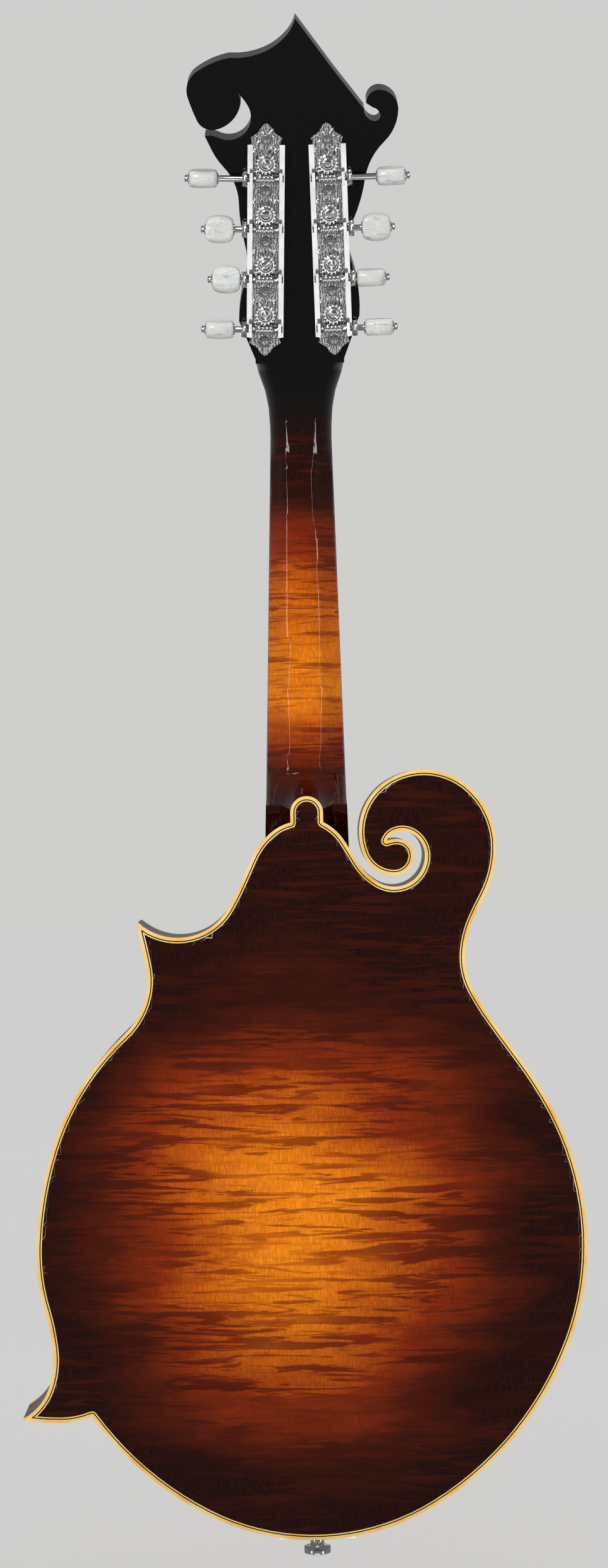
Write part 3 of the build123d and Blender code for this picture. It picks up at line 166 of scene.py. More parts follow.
class MandolinMetal(bpy.types.PropertyGroup):
    nickel: bpy.props.FloatVectorProperty(
        name="Nickel", description="Tone of the polished plating",
        default=(0.80, 0.80, 0.79), size=3, subtype="COLOR", min=0, max=1)
    engraving: bpy.props.FloatProperty(
        name="Leaf height", description="How far the cast leaves stand above the tuner plates",
        default=0.0006, min=0, max=0.002, unit="LENGTH", subtype="DISTANCE")


class MandolinStage(bpy.types.PropertyGroup):
    distance: bpy.props.FloatProperty(
        name="Camera distance", description="Camera to the plane of the back's edge",
        default=1.6, min=0.3, max=10, unit="LENGTH", subtype="DISTANCE")
    roll: bpy.props.FloatProperty(
        name="Camera roll", description="Turn of the camera about its own line of sight",
        default=radians(-0.852), unit="ROTATION", subtype="ANGLE")
    floor: bpy.props.FloatVectorProperty(
        name="Floor", description="Colour of the plain floor",
        default=(0.86, 0.855, 0.84), size=3, subtype="COLOR", min=0, max=1)
    light: bpy.props.FloatProperty(
        name="Light", description="Strength of all studio lights together",
        default=1.0, min=0, max=10)


# ------------------------------------------------------------------ material building
class Maker:
    """Node tree of one material, with short calls for the nodes that these finishes need."""

    def __init__(self, name):
        self.material = bpy.data.materials.new(name)
        self.material.use_nodes = True
        self.nodes = self.material.node_tree.nodes
        self.links = self.material.node_tree.links
        self.shader = self.nodes["Principled BSDF"]
        self.place = self.nodes.new("ShaderNodeTexCoord").outputs["Object"]

    def link(self, source, target):
        if isinstance(source, bpy.types.NodeSocket):
            self.links.new(source, target)
        else:
            target.default_value = source

    def set(self, **values):
        """Shader sockets by name, with _ for a blank."""
        for name, value in values.items():
            self.link(value, self.shader.inputs[name.replace("_", " ")])

    def mapped(self, scale, offset=(0, 0, 0), turn=(0, 0, 0)):
        node = self.nodes.new("ShaderNodeMapping")
        self.links.new(self.place, node.inputs["Vector"])
        node.inputs["Scale"].default_value = scale
        node.inputs["Location"].default_value = offset
        node.inputs["Rotation"].default_value = turn
        return node.outputs["Vector"]

    def noise(self, vector, scale=1.0, detail=2.0, rough=0.5, distortion=0.0):
        node = self.nodes.new("ShaderNodeTexNoise")
        self.links.new(vector, node.inputs["Vector"])
        for name, value in (("Scale", scale), ("Detail", detail), ("Roughness", rough),
                            ("Distortion", distortion)):
            node.inputs[name].default_value = value
        return node.outputs["Fac"]

    def wave(self, vector, scale, distortion=0.0, detail=2.0, direction="X"):
        node = self.nodes.new("ShaderNodeTexWave")
        node.bands_direction = direction
        self.links.new(vector, node.inputs["Vector"])
        node.inputs["Scale"].default_value = scale
        node.inputs["Distortion"].default_value = distortion
        node.inputs["Detail"].default_value = detail
        return node.outputs["Fac"]

    def cells(self, vector, scale):
        node = self.nodes.new("ShaderNodeTexVoronoi")
        self.links.new(vector, node.inputs["Vector"])
        node.inputs["Scale"].default_value = scale
        return node.outputs["Distance"]

    def math(self, operation, first, second=0.0, clamp=False):
        node = self.nodes.new("ShaderNodeMath")
        node.operation = operation
        node.use_clamp = clamp
        self.link(first, node.inputs[0])
        self.link(second, node.inputs[1])
        return node.outputs[0]

    def split(self, vector):
        node = self.nodes.new("ShaderNodeSeparateXYZ")
        self.links.new(vector, node.inputs[0])
        return node.outputs

    def length(self, vector):
        node = self.nodes.new("ShaderNodeVectorMath")
        node.operation = "LENGTH"
        self.links.new(vector, node.inputs[0])
        return node.outputs["Value"]

    def spread(self, value, low, high, out_low=0.0, out_high=1.0):
        node = self.nodes.new("ShaderNodeMapRange")
        node.interpolation_type = "SMOOTHSTEP"
        self.links.new(value, node.inputs["Value"])
        for name, number in (("From Min", low), ("From Max", high), ("To Min", out_low),
                             ("To Max", out_high)):
            node.inputs[name].default_value = number
        return node.outputs["Result"]

    def ramp(self, value, *stops):
        node = self.nodes.new("ShaderNodeValToRGB")
        self.links.new(value, node.inputs["Fac"])
        elements = node.color_ramp.elements
        while len(elements) < len(stops):
            elements.new(0.5)
        for element, (place, colour) in zip(elements, stops):
            element.position = place
            element.color = (*colour, 1)
        return node.outputs["Color"]

    def mix(self, factor, first, second, blend="MIX"):
        node = self.nodes.new("ShaderNodeMix")
        node.data_type = "RGBA"
        node.blend_type = blend
        self.link(factor, node.inputs["Factor"])
        for source, target in ((first, node.inputs["A"]), (second, node.inputs["B"])):
            self.link(source if isinstance(source, bpy.types.NodeSocket) else (*source, 1), target)
        return node.outputs["Result"]

    def bump(self, height, distance, strength=1.0):
        node = self.nodes.new("ShaderNodeBump")
        node.inputs["Strength"].default_value = strength
        node.inputs["Distance"].default_value = distance
        self.links.new(height, node.inputs["Height"])
        self.links.new(node.outputs["Normal"], self.shader.inputs["Normal"])

    def coat(self, roughness):
        """Clear lacquer over a wood or plastic that has no shine of its own."""
        self.set(Coat_Weight=1.0, Coat_Roughness=roughness, Coat_IOR=1.36, Specular_IOR_Level=0.0)


MATERIALS = {}


def flame(maker, width, turn=0.05):
    """Curly figure across the grain: dark stripes 1, lit stripes 0, broken along their length."""
    fine = maker.noise(maker.mapped((22, 22, 1.7 / width), turn=(0, turn, 0)), 1.0, 4.0, 0.6, 0.7)
    other = maker.noise(maker.mapped((42, 42, 2.5 / width), (5, 2, 3), (0, -turn, 0)), 1.0, 4.0,
                        0.6, 0.5)
    broad = maker.noise(maker.mapped((11, 11, 0.25 / width), (3, 1, 7)), 1.0, 3.0, 0.55, 0.6)
    stripes = maker.math("MAXIMUM", maker.spread(fine, 0.50, 0.57),
                         maker.spread(other, 0.54, 0.66, 0.0, 0.75))
    bands = maker.spread(broad, 0.38, 0.60, 0.25, 1.0)
    return maker.math("MULTIPLY", stripes, bands)


def burst_colours(maker, spot, lacquer, width=None):
    """Sunburst by distance from the burst's middle, with flame and fibre in the wood below, and a
    painted glint: bright fibres near the middle are lifted towards the centre colour.
    """
    figure = flame(maker, width or lacquer.flame_width)
    patch = maker.noise(maker.mapped((9, 9, 30), (2, 5, 1)), 1.0, 5.0, 0.62)
    wander = maker.spread(patch, 0.28, 0.72, -0.11, 0.11)
    far = maker.math("ADD", spot, wander)
    shade = maker.math("MULTIPLY", figure, 0.20 * lacquer.flame)
    far = maker.math("ADD", far, shade, clamp=True)
    centre, middle, edge = (tuple(c) for c in (lacquer.centre, lacquer.middle, lacquer.edge))
    warm = (0.60 * centre[0], 0.42 * centre[1], 0.4 * centre[2])
    deep = tuple(0.26 * m + 0.74 * e for m, e in zip(middle, edge))
    colour = maker.ramp(far, (0.02, centre), (0.24, warm), (0.44, middle), (0.66, deep),
                        (0.86, edge))
    fibre = maker.noise(maker.mapped((1500, 1500, 260)), 1.0, 3.0, 0.65)
    dark = maker.math("MAXIMUM", maker.math("MULTIPLY", figure, 0.62 * lacquer.flame),
                      maker.spread(fibre, 0.38, 0.60, 0.26, 0.0))
    colour = maker.mix(dark, colour, deep)
    # painted glint: lit fibres near the burst's middle are added as colour
    glint = maker.math("MULTIPLY", maker.spread(fibre, 0.54, 0.72, 0.0, 0.14),
                       maker.spread(far, 0.1, 0.6, 1.0, 0.0))
    return maker.mix(glint, colour, centre, "ADD")


def plate_wood(name, middle, reach, lacquer):
    maker = Maker(name)
    scale = tuple(1 / size for size in reach)
    shifted = maker.mapped(scale, tuple(-m * s for m, s in zip(middle, scale)))
    spot = maker.spread(maker.length(shifted), 0.0, 1.35)
    colour = burst_colours(maker, spot, lacquer)
    maker.set(Base_Color=colour, Roughness=0.36)
    maker.coat(lacquer.gloss)
    maker.bump(maker.noise(maker.mapped((220, 220, 40)), 1.0, 2.0), 0.00004, 0.35)
    return maker.material


def neck_wood(lacquer):
    """Amber in the middle of the neck, black at the head and dark at the heel."""
    maker = Maker("neck_lacquer")
    height = maker.split(maker.place)["Z"]
    up = maker.spread(height, -0.098, -0.002)
    down = maker.spread(height, -0.190, -0.112, 1.0, 0.0)
    spot = maker.math("ADD", maker.math("MULTIPLY", maker.math("MAXIMUM", up, down), 0.80), 0.10)
    colour = burst_colours(maker, spot, lacquer, 0.0050)
    black = maker.spread(height, -0.012, 0.022)
    maker.set(Base_Color=maker.mix(black, colour, (0.0035, 0.003, 0.003)), Roughness=0.36)
    maker.coat(lacquer.gloss)
    maker.bump(maker.noise(maker.mapped((220, 220, 40)), 1.0, 2.0), 0.00003, 0.3)
    return maker.material


def rib_wood(lacquer):
    """Figured sides: stripes run from back to front, dark towards both bindings."""
    maker = Maker("rib_lacquer")
    depth = maker.split(maker.place)["Y"]
    middle = (RIBS_LOW.y + RIBS_HIGH.y) / 2
    half = (RIBS_HIGH.y - RIBS_LOW.y) / 2
    off = maker.math("ABSOLUTE", maker.math("SUBTRACT", depth, middle))
    spot = maker.spread(off, 0.0, half * 1.05, 0.46, 0.95)
    stripes = maker.noise(maker.mapped((95, 9, 95)), 1.0, 3.0, 0.55, 0.5)
    dark = maker.math("ADD", spot, maker.spread(stripes, 0.40, 0.64, 0.0, 0.2))
    middle_colour, edge = tuple(lacquer.middle), tuple(lacquer.edge)
    colour = maker.ramp(dark, (0.35, middle_colour), (0.62, tuple(0.4 * c for c in middle_colour)),
                        (0.9, edge))
    fibre = maker.noise(maker.mapped((700, 90, 700)), 1.0, 2.0, 0.6)
    maker.set(Base_Color=maker.mix(maker.spread(fibre, 0.35, 0.62, 0.4, 0.0), colour, edge),
              Roughness=0.36)
    maker.coat(3 * lacquer.gloss)
    return maker.material


def spruce(lacquer):
    """Straight-grained top under an amber burst."""
    maker = Maker("top_lacquer")
    scale = (1 / 0.105, 0.0, 1 / 0.15)
    shifted = maker.mapped(scale, (0, 0, -(TAIL_Z + 0.15) / 0.15))
    patch = maker.noise(maker.mapped((9, 9, 9), (1, 2, 3)), 1.0, 3.0)
    spot = maker.math("ADD", maker.spread(maker.length(shifted), 0.1, 1.3),
                      maker.spread(patch, 0.25, 0.75, -0.1, 0.1))
    colour = maker.ramp(spot, (0.0, (0.78, 0.36, 0.06)), (0.4, (0.50, 0.13, 0.012)),
                        (0.68, (0.14, 0.016, 0.002)), (0.95, tuple(lacquer.edge)))
    grain = maker.wave(maker.mapped((420, 60, 4)), 1.0, 1.6, 2.0)
    colour = maker.mix(maker.spread(grain, 0.55, 1.0, 0.0, 0.45), colour, (0.10, 0.02, 0.004))
    maker.set(Base_Color=colour, Roughness=0.38)
    maker.coat(lacquer.gloss)
    maker.bump(grain, 0.00003, 0.3)
    return maker.material


def bare_wood():
    maker = Maker("bare_wood")
    grain = maker.noise(maker.mapped((400, 400, 25)), 1.0, 3.0)
    maker.set(Base_Color=maker.ramp(grain, (0.3, (0.55, 0.38, 0.20)), (0.7, (0.72, 0.54, 0.32))),
              Roughness=0.75)
    maker.bump(grain, 0.0001, 0.5)
    return maker.material


def ebony():
    maker = Maker("ebony")
    grain = maker.noise(maker.mapped((900, 900, 35)), 1.0, 4.0, 0.6)
    maker.set(Base_Color=maker.ramp(grain, (0.35, (0.004, 0.003, 0.0025)),
                                    (0.75, (0.022, 0.015, 0.011))),
              Roughness=maker.spread(grain, 0.3, 0.7, 0.42, 0.28))
    maker.bump(grain, 0.00006, 0.5)
    return maker.material


def cream(trim):
    """Celluloid, deeper amber where the lacquer lies thick."""
    maker = Maker("binding_cream")
    cloud = maker.noise(maker.mapped((60, 60, 60)), 1.0, 3.0)
    base = tuple(trim.binding)
    amber = (base[0] * 0.92, base[1] * 0.74, base[2] * 0.42)
    light = (min(1, base[0] * 1.05), base[1] * 1.16, base[2] * 1.55)
    maker.set(Base_Color=maker.ramp(cloud, (0.3, amber), (0.5, base), (0.72, light)),
              Roughness=0.3, Subsurface_Weight=0.12, Subsurface_Scale=0.002)
    maker.coat(0.05)
    return maker.material


def black_plastic(name, tone, speck):
    maker = Maker(name)
    dust = maker.noise(maker.mapped((500, 500, 500)), 1.0, 3.0)
    maker.set(Base_Color=maker.ramp(dust, (0.4, tone), (0.8, speck)),
              Roughness=maker.spread(dust, 0.3, 0.7, 0.18, 0.26))
    maker.coat(0.05)
    maker.bump(dust, 0.00002, 0.2)
    return maker.material


def bone():
    maker = Maker("nut_bone")
    cloud = maker.noise(maker.mapped((180, 900, 180)), 1.0, 3.0)
    maker.set(Base_Color=maker.ramp(cloud, (0.3, (0.68, 0.62, 0.48)), (0.7, (0.86, 0.83, 0.74))),
              Roughness=0.32, Subsurface_Weight=0.15, Subsurface_Scale=0.001)
    maker.bump(cloud, 0.00003, 0.3)
    return maker.material


def pearl(trim):
    """Mother-of-pearl: cloudy layers that shift from cream to cool grey."""
    maker = Maker("pearl")
    layers = maker.noise(maker.mapped((70, 110, 260), turn=(0.5, 0.3, 0.2)), 1.0, 4.0, 0.6, 1.6)
    swirl = maker.noise(maker.mapped((160, 160, 90), (1, 1, 1)), 1.0, 2.0, 0.5, 2.5)
    base = tuple(trim.pearl)
    cool = (base[0] * 0.46, base[1] * 0.53, base[2] * 0.58)
    warm = (base[0] * 1.0, base[1] * 0.93, base[2] * 0.84)
    bright = tuple(min(1, 1.3 * c) for c in base)
    colour = maker.ramp(layers, (0.30, cool), (0.45, base), (0.56, warm), (0.70, bright))
    colour = maker.mix(maker.spread(swirl, 0.5, 0.75, 0.0, 0.4), colour, bright)
    maker.set(Base_Color=colour, Roughness=0.22)
    maker.coat(0.06)
    maker.bump(layers, 0.00005, 0.25)
    return maker.material


def plated(name, tone, rough_low, rough_high, scale, bump):
    """Polished plating: faint haze and fine wear in its roughness, a slight ripple."""
    maker = Maker(name)
    haze = maker.noise(maker.mapped((scale, scale, scale)), 1.0, 4.0, 0.6)
    maker.set(Base_Color=maker.mix(maker.spread(haze, 0.35, 0.7, 0.0, 0.35), tone,
                                   tuple(0.78 * c for c in tone)),
              Metallic=1.0, Roughness=maker.spread(haze, 0.3, 0.7, rough_low, rough_high))
    maker.bump(haze, bump, 0.5)
    return maker.material


def cast_nickel(tone):
    """Plate ground between the leaves: stippled, with engraved scroll lines. The lines are painted
    near-black as painted shade in the engraving; the ground's darker tone is partly its own
    stippled finish and partly painted shade beneath the gears.
    """
    maker = Maker("nickel_engraved")
    stipple = maker.cells(maker.mapped((1, 1, 1)), 1500.0)
    scrolls = maker.wave(maker.mapped((1, 1, 1), turn=(0.4, 0, 0)), 260.0, 9.0, 2.0)
    height = maker.math("ADD", maker.math("MULTIPLY", stipple, 0.6), scrolls)
    # painted shade: the scroll lines are darkened to near black in the base colour
    maker.set(Base_Color=maker.mix(maker.spread(scrolls, 0.1, 0.55, 0.85, 0.0), tone,
                                   tuple(0.12 * c for c in tone)),
              Metallic=1.0, Roughness=maker.spread(stipple, 0.2, 0.6, 0.2, 0.34))
    maker.bump(height, 0.00012, 0.9)
    return maker.material


def wound(name, tone):
    """Wire wound on a core: fine rings along the string, darkened between the turns as painted
    shade in the grooves.
    """
    maker = Maker(name)
    rings = maker.wave(maker.mapped((1, 1, 1)), 480.0, 0.0, 0.0, "Z")
    # painted shade: the grooves between the turns are darkened in the base colour
    maker.set(Base_Color=maker.mix(maker.spread(rings, 0.0, 0.4, 0.6, 0.0), tone,
                                   tuple(0.4 * c for c in tone)), Metallic=1.0, Roughness=0.28)
    maker.bump(rings, 0.00008, 0.8)
    return maker.material


def make_materials(scene):
    """Every finish, by the record's slot name and a few more for new pieces."""
    lacquer, trim, metal = scene.mandolin_lacquer, scene.mandolin_trim, scene.mandolin_metal
    nickel = tuple(metal.nickel)
    MATERIALS.update({
        "back_wood": plate_wood("back_lacquer", BURST_MIDDLE, BURST_REACH, lacquer),
        "rib_wood": rib_wood(lacquer),
        "top_wood": spruce(lacquer),
        "neck_wood": neck_wood(lacquer),
        "inside_wood": bare_wood(),
        "binding_cream": cream(trim),
        "purfling_black": black_plastic("purfling_black", (0.003, 0.002, 0.002),
                                        (0.012, 0.008, 0.006)),
        "ebony": ebony(),
        "black_gloss": black_plastic("black_gloss", (0.002, 0.002, 0.002),
                                     (0.008, 0.008, 0.008)),
        "nut_bone": bone(),
        "pearl": pearl(trim),
        "nickel": plated("nickel", nickel, 0.06, 0.16, 90, 0.00004),
        # the engraved ground is nickel at 0.72: partly its stippled finish, partly painted shade
        # beneath the gears
        "nickel_engraved": cast_nickel(tuple(0.72 * c for c in nickel)),
        "nickel_leaf": plated("nickel_leaf", nickel, 0.09, 0.2, 600, 0.00003),
        # nickel_dark is the nickel painted darker: painted shade and dark reflection on the screw
        # heads it is given to
        "nickel_dark": plated("nickel_dark", tuple(0.55 * c for c in nickel), 0.14, 0.3, 300,
                              0.00003),
        "brass": plated("brass", (0.76, 0.52, 0.22), 0.2, 0.38, 200, 0.00003),
        "steel": plated("steel", (0.58, 0.58, 0.58), 0.22, 0.4, 300, 0.00003),
        "bronze_wire": wound("bronze_wire", (0.70, 0.42, 0.16)),
    })


# ------------------------------------------------------------------ mesh helpers
def welded(node):
    """A CAD node's mesh as a bmesh with its loose triangles joined."""
    form = bmesh.new()
    form.from_mesh(frame["nodes"][node].data)
    bmesh.ops.remove_doubles(form, verts=form.verts, dist=WELD)
    return form


def settle(form, name, finish, body, nodes=(), angle=34):
    """Turn a bmesh into a finished piece that rides on a body."""
    mesh = bpy.data.meshes.new(name)
    form.to_mesh(mesh)
    form.free()
    mesh.shade_smooth()
    mesh.set_sharp_from_angle(angle=radians(angle))
    mesh.materials.clear()
    mesh.materials.append(MATERIALS[finish])
    piece = bpy.data.objects.new(name, mesh)
    bpy.context.scene.collection.objects.link(piece)
    level = piece.modifiers.new("even_normals", "WEIGHTED_NORMAL")
    level.keep_sharp = True
    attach(piece, body)
    if nodes:
        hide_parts(*nodes)
    return piece


def smooth_copy(node, finish=None, angle=34, soften=0.0):
    """A welded, smooth-shaded copy that stands for a CAD node, its sharp edges softened."""
    form = welded(node)
    if soften:
        soften_edges(form, soften, angle)
    return settle(form, f"{node}_finished", finish or SLOT_OF[node], BODY_OF[node],
                  (node,), angle)


def flat_faces(form):
    """Join coplanar triangles so that bevels run along whole edges."""
    bmesh.ops.dissolve_limit(form, angle_limit=radians(1.0), verts=form.verts, edges=form.edges)


def soften_edges(form, size, angle):
    flat_faces(form)
    sharp = [edge for edge in form.edges
             if len(edge.link_faces) == 2 and edge.calc_face_angle(0) > radians(angle)]
    bmesh.ops.bevel(form, geom=sharp, offset=size, offset_type="OFFSET", affect="EDGES", segments=2,
                    profile=0.5, material=-1, clamp_overlap=True)
    bmesh.ops.triangulate(form, faces=form.faces)


def sliced(form, axis, low, high, step):
    """Cut a form into strips across an axis, so that its surface can be smoothed."""
    normal = Vector((axis == "X", axis == "Y", axis == "Z"))
    place = low
    while place < high:
        geometry = list(form.verts) + list(form.edges) + list(form.faces)
        bmesh.ops.bisect_plane(form, geom=geometry, dist=SLICE_WELD,
                               plane_co=normal * place, plane_no=normal)
        place += step


def arch(across, up):
    """Height of a plate's arch, 1 at its crown and 0 at its foot: longer above the crown."""
    reach = ARCH_REACH if up > 0 else ARCH_RADIUS
    far = sqrt((across / ARCH_RADIUS) ** 2 + (up / reach) ** 2)
    if far >= 1:
        return 0.0
    return 0.5 + 0.5 * cos(pi * far ** 0.92)


def level_grid(node, edge_y, outward):
    """A plate's mesh with its outer face laid flat and cut into a clean grid."""
    form = welded(node)
    outer = {face for face in form.faces if face.normal.y * outward > 0.25
             and (face.calc_center_median().y - edge_y) * outward > -0.0002}
    skin = {vert for face in outer for vert in face.verts}
    for vert in skin:
        vert.co.y = edge_y
    inside = [edge for edge in form.edges if len(edge.link_faces) == 2
              and all(face in outer for face in edge.link_faces)]
    bmesh.ops.dissolve_limit(form, angle_limit=radians(0.5), verts=list(skin), edges=inside)
    low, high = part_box(node)
    sliced(form, "X", low.x + PLATE_GRID, high.x, PLATE_GRID)
    sliced(form, "Z", low.z + PLATE_GRID, high.z, PLATE_GRID)
    form.normal_update()
    return form


def outline_tree(form, edge_y):
    """The plate's edge as points, to measure how far inside it a place is."""
    rim = [vert.co.copy() for vert in form.verts if abs(vert.co.y - edge_y) < WELD
           and any(abs(face.normal.y) < 0.5 for face in vert.link_faces)]
    tree = KDTree(len(rim))
    for index, place in enumerate(rim):
        tree.insert((place.x, 0, place.z), index)
    tree.balance()
    return tree


def carve(form, tree, edge_y, crown_y):
    """Raise the arch, which dies away into a flat margin along the outline."""
    for vert in form.verts:
        if abs(vert.co.y - edge_y) < WELD:
            inset = tree.find((vert.co.x, 0, vert.co.z))[2]
            share = min(1.0, max(0.0, (inset - MARGIN) / MARGIN_BLEND))
            margin = share * share * (3 - 2 * share)
            rise = margin * arch(vert.co.x, vert.co.z - TAIL_Z - CROWN_ABOVE_TAIL)
            vert.co.y = edge_y + (crown_y - edge_y) * rise


def carved_plates():
    back_edge, top_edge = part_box("back_binding")[0].y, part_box("top_binding")[1].y
    back = level_grid("back_plate", back_edge, -1)
    top = level_grid("top_plate", top_edge, 1)
    tree = outline_tree(back, back_edge)
    carve(back, tree, back_edge, BACK_LOW.y)
    carve(top, tree, top_edge, TOP_HIGH.y)
    for node, form in (("back_plate", back), ("top_plate", top)):
        settle(form, f"{node}_carved", SLOT_OF[node], BODY_OF[node], (node,), 50)


def placed(form, matrix):
    """Move a form by a matrix."""
    bmesh.ops.transform(form, matrix=matrix, verts=form.verts)


def frame_at(origin, x_axis, z_axis):
    """Matrix with its origin at a point, x along x_axis and z along z_axis."""
    z_axis = Vector(z_axis).normalized()
    x_axis = Vector(x_axis).normalized()
    turn = Matrix((x_axis, z_axis.cross(x_axis), z_axis)).transposed().to_4x4()
    return Matrix.Translation(origin) @ turn


def machine(side, count):
    """A machine's own frame: origin at its post's seat, x to the right, z out of the back."""
    post = JOINTS[f"post_{side}_{count}_turn"]
    knob = JOINTS[f"knob_{side}_{count}_turn"]
    sign = 1 if side == "right" else -1
    return frame_at(Vector(post["pos_m"]), Vector(knob["axis"]) * sign, Vector(post["axis"]))


def joined(target, source, matrix):
    """Add a copy of one bmesh, placed, to another."""
    scratch = bpy.data.meshes.new("scratch")
    source.to_mesh(scratch)
    scratch.transform(matrix)
    target.from_mesh(scratch)
    bpy.data.meshes.remove(scratch)


# ------------------------------------------------------------------ new pieces
def turned(profile, steps=24):
    """Spin a profile of (radius, height) pairs about Z into a closed form."""
    form = bmesh.new()
    verts = [form.verts.new((radius, 0, height)) for radius, height in profile]
    edges = [form.edges.new(pair) for pair in zip(verts, verts[1:])]
    bmesh.ops.spin(form, geom=verts + edges, axis=(0, 0, 1), cent=(0, 0, 0), angle=2 * pi,
                   steps=steps, use_merge=True)
    bmesh.ops.remove_doubles(form, verts=form.verts, dist=WELD)
    bmesh.ops.recalc_face_normals(form, faces=form.faces)
    return form


def screw_head(radius, height, slot_width, turn):
    """A domed head with its slot sunk across it."""
    rim = 0.25 * height
    form = turned([(0, 0), (radius, 0), (radius, height * 0.45), (radius - rim, height * 0.78),
                   (radius * 0.55, height * 0.96), (0, height)])
    for side in (-1, 1):
        geometry = list(form.verts) + list(form.edges) + list(form.faces)
        bmesh.ops.bisect_plane(form, geom=geometry, dist=1e-7, plane_no=(1, 0, 0),
                               plane_co=(side * slot_width / 2, 0, 0))
    band = [face for face in form.faces if face.normal.z > 0.3
            and abs(face.calc_center_median().x) < slot_width / 2]
    grown = bmesh.ops.extrude_face_region(form, geom=band)
    bmesh.ops.delete(form, geom=band, context="FACES_ONLY")
    sunk = [item for item in grown["geom"] if isinstance(item, bmesh.types.BMVert)]
    for vert in sunk:
        vert.co.z = height * 0.42
    placed(form, Matrix.Rotation(turn, 4, "Z"))
    return form


def leaf(length, width, height):
    """A pointed leaf with a raised middle, lying along +Y from its stem."""
    form = bmesh.new()
    bmesh.ops.create_uvsphere(form, u_segments=8, v_segments=6, radius=0.5)
    placed(form, Matrix.Diagonal((width, length, 2 * height, 1)))
    for vert in form.verts:
        share = vert.co.y / length + 0.5
        vert.co.x *= 1.15 - 0.85 * share
        vert.co.x += 0.18 * length * share * share
        vert.co.y += length / 2
    return form


def curl(radius, thickness, sweep, start):
    """A scroll's curl: a round section spun through part of a turn."""
    form = bmesh.new()
    ring = bmesh.ops.create_circle(form, cap_ends=True, segments=6, radius=thickness)
    bmesh.ops.rotate(form, verts=ring["verts"], matrix=Matrix.Rotation(pi / 2, 3, "X"))
    bmesh.ops.translate(form, verts=ring["verts"], vec=(radius, 0, 0))
    bmesh.ops.spin(form, geom=form.faces[:] + form.edges[:] + form.verts[:], axis=(0, 0, 1),
                   cent=(0, 0, 0), angle=sweep, steps=9, use_merge=False)
    bmesh.ops.recalc_face_normals(form, faces=form.faces)
    placed(form, Matrix.Rotation(start, 4, "Z"))
    return form


def smooth_neck():
    """The neck: its round back is laid out as an even grid, so that highlights run clean."""
    form = welded("neck")
    flat_faces(form)
    shape = BVHTree.FromBMesh(form)
    sliced(form, "Z", HEEL_TOP_Z, NECK_TOP_Z + MM, NECK_TOP_Z - HEEL_TOP_Z)
    form.normal_update()
    back = {face for face in form.faces if face.normal.y < -0.30
            and HEEL_TOP_Z < face.calc_center_median().z < NECK_TOP_Z}
    inner = [edge for edge in form.edges if len(edge.link_faces) == 2
             and all(face in back for face in edge.link_faces)]
    verts = list({vert for face in back for vert in face.verts})
    bmesh.ops.dissolve_limit(form, angle_limit=radians(30), verts=verts, edges=inner)
    sliced(form, "Z", HEEL_TOP_Z + NECK_RING, NECK_TOP_Z, NECK_RING)
    sliced(form, "X", -12.0 * MM, 12.4 * MM, NECK_STRIP)
    form.normal_update()
    for vert in form.verts:
        inside = min(vert.co.z - HEEL_TOP_Z, NECK_TOP_Z - vert.co.z)
        if inside > 0 and abs(vert.co.x) <= NECK_EASED_HALF:
            ease_height(vert, shape, min(1.0, inside / NECK_EASING_FADE) * NECK_EASING)
    settle(form, "neck_lacquered", SLOT_OF["neck"], BODY_OF["neck"], ("neck",), 38)


def ease_height(vert, shape, step):
    """Set a point of the neck's back to the mean of the shape's heights above and below it."""
    found = [shape.ray_cast(Vector((vert.co.x, -1, vert.co.z + part * step)), Vector((0, 1, 0)))[0]
             for part in range(-3, 4)]
    heights = [place.y for place in found if place is not None]
    level = sum(heights) / max(1, len(heights))
    if len(heights) == len(found) and abs(level - vert.co.y) < 1.5 * MM:
        vert.co.y = level


def tuner_plate(side):
    """One base strip: engraved ground, polished rails and lugs."""
    node = f"tuner_plate_{side}"
    piece = smooth_copy(node, "nickel_engraved", soften=0.25 * MM)
    piece.data.materials.append(MATERIALS["nickel"])
    home = machine(side, 1).inverted()
    for face in piece.data.polygons:
        if (home @ face.center).z > PLATE_THICKNESS + 0.1 * MM:
            face.material_index = 1


def gear_cap(side, count):
    """Hub ring and domed, slotted screw on one gear, each stopped at its own angle."""
    body = BODY_OF[f"gear_post_{side}_{count}"]
    home = machine(side, count) @ Matrix.Translation((0, 0, GEAR_TOP))
    ring = turned([(2.75 * MM, -0.1 * MM), (2.85 * MM, 0.35 * MM), (3.15 * MM, 0.6 * MM),
                   (3.5 * MM, 0.35 * MM), (3.6 * MM, -0.1 * MM), (2.75 * MM, -0.1 * MM)], 32)
    placed(ring, home)
    settle(ring, f"gear_hub_{side}_{count}", "nickel", body, (), 50)
    turn = screw_turns(count * 3 + (side == "left"))
    head = screw_head(2.65 * MM, 1.6 * MM, 0.75 * MM, turn)
    placed(head, home)
    # the screw takes nickel_dark, whose darker tone is painted shade and dark reflection
    settle(head, f"gear_screw_{side}_{count}", "nickel_dark", body, (), 40)


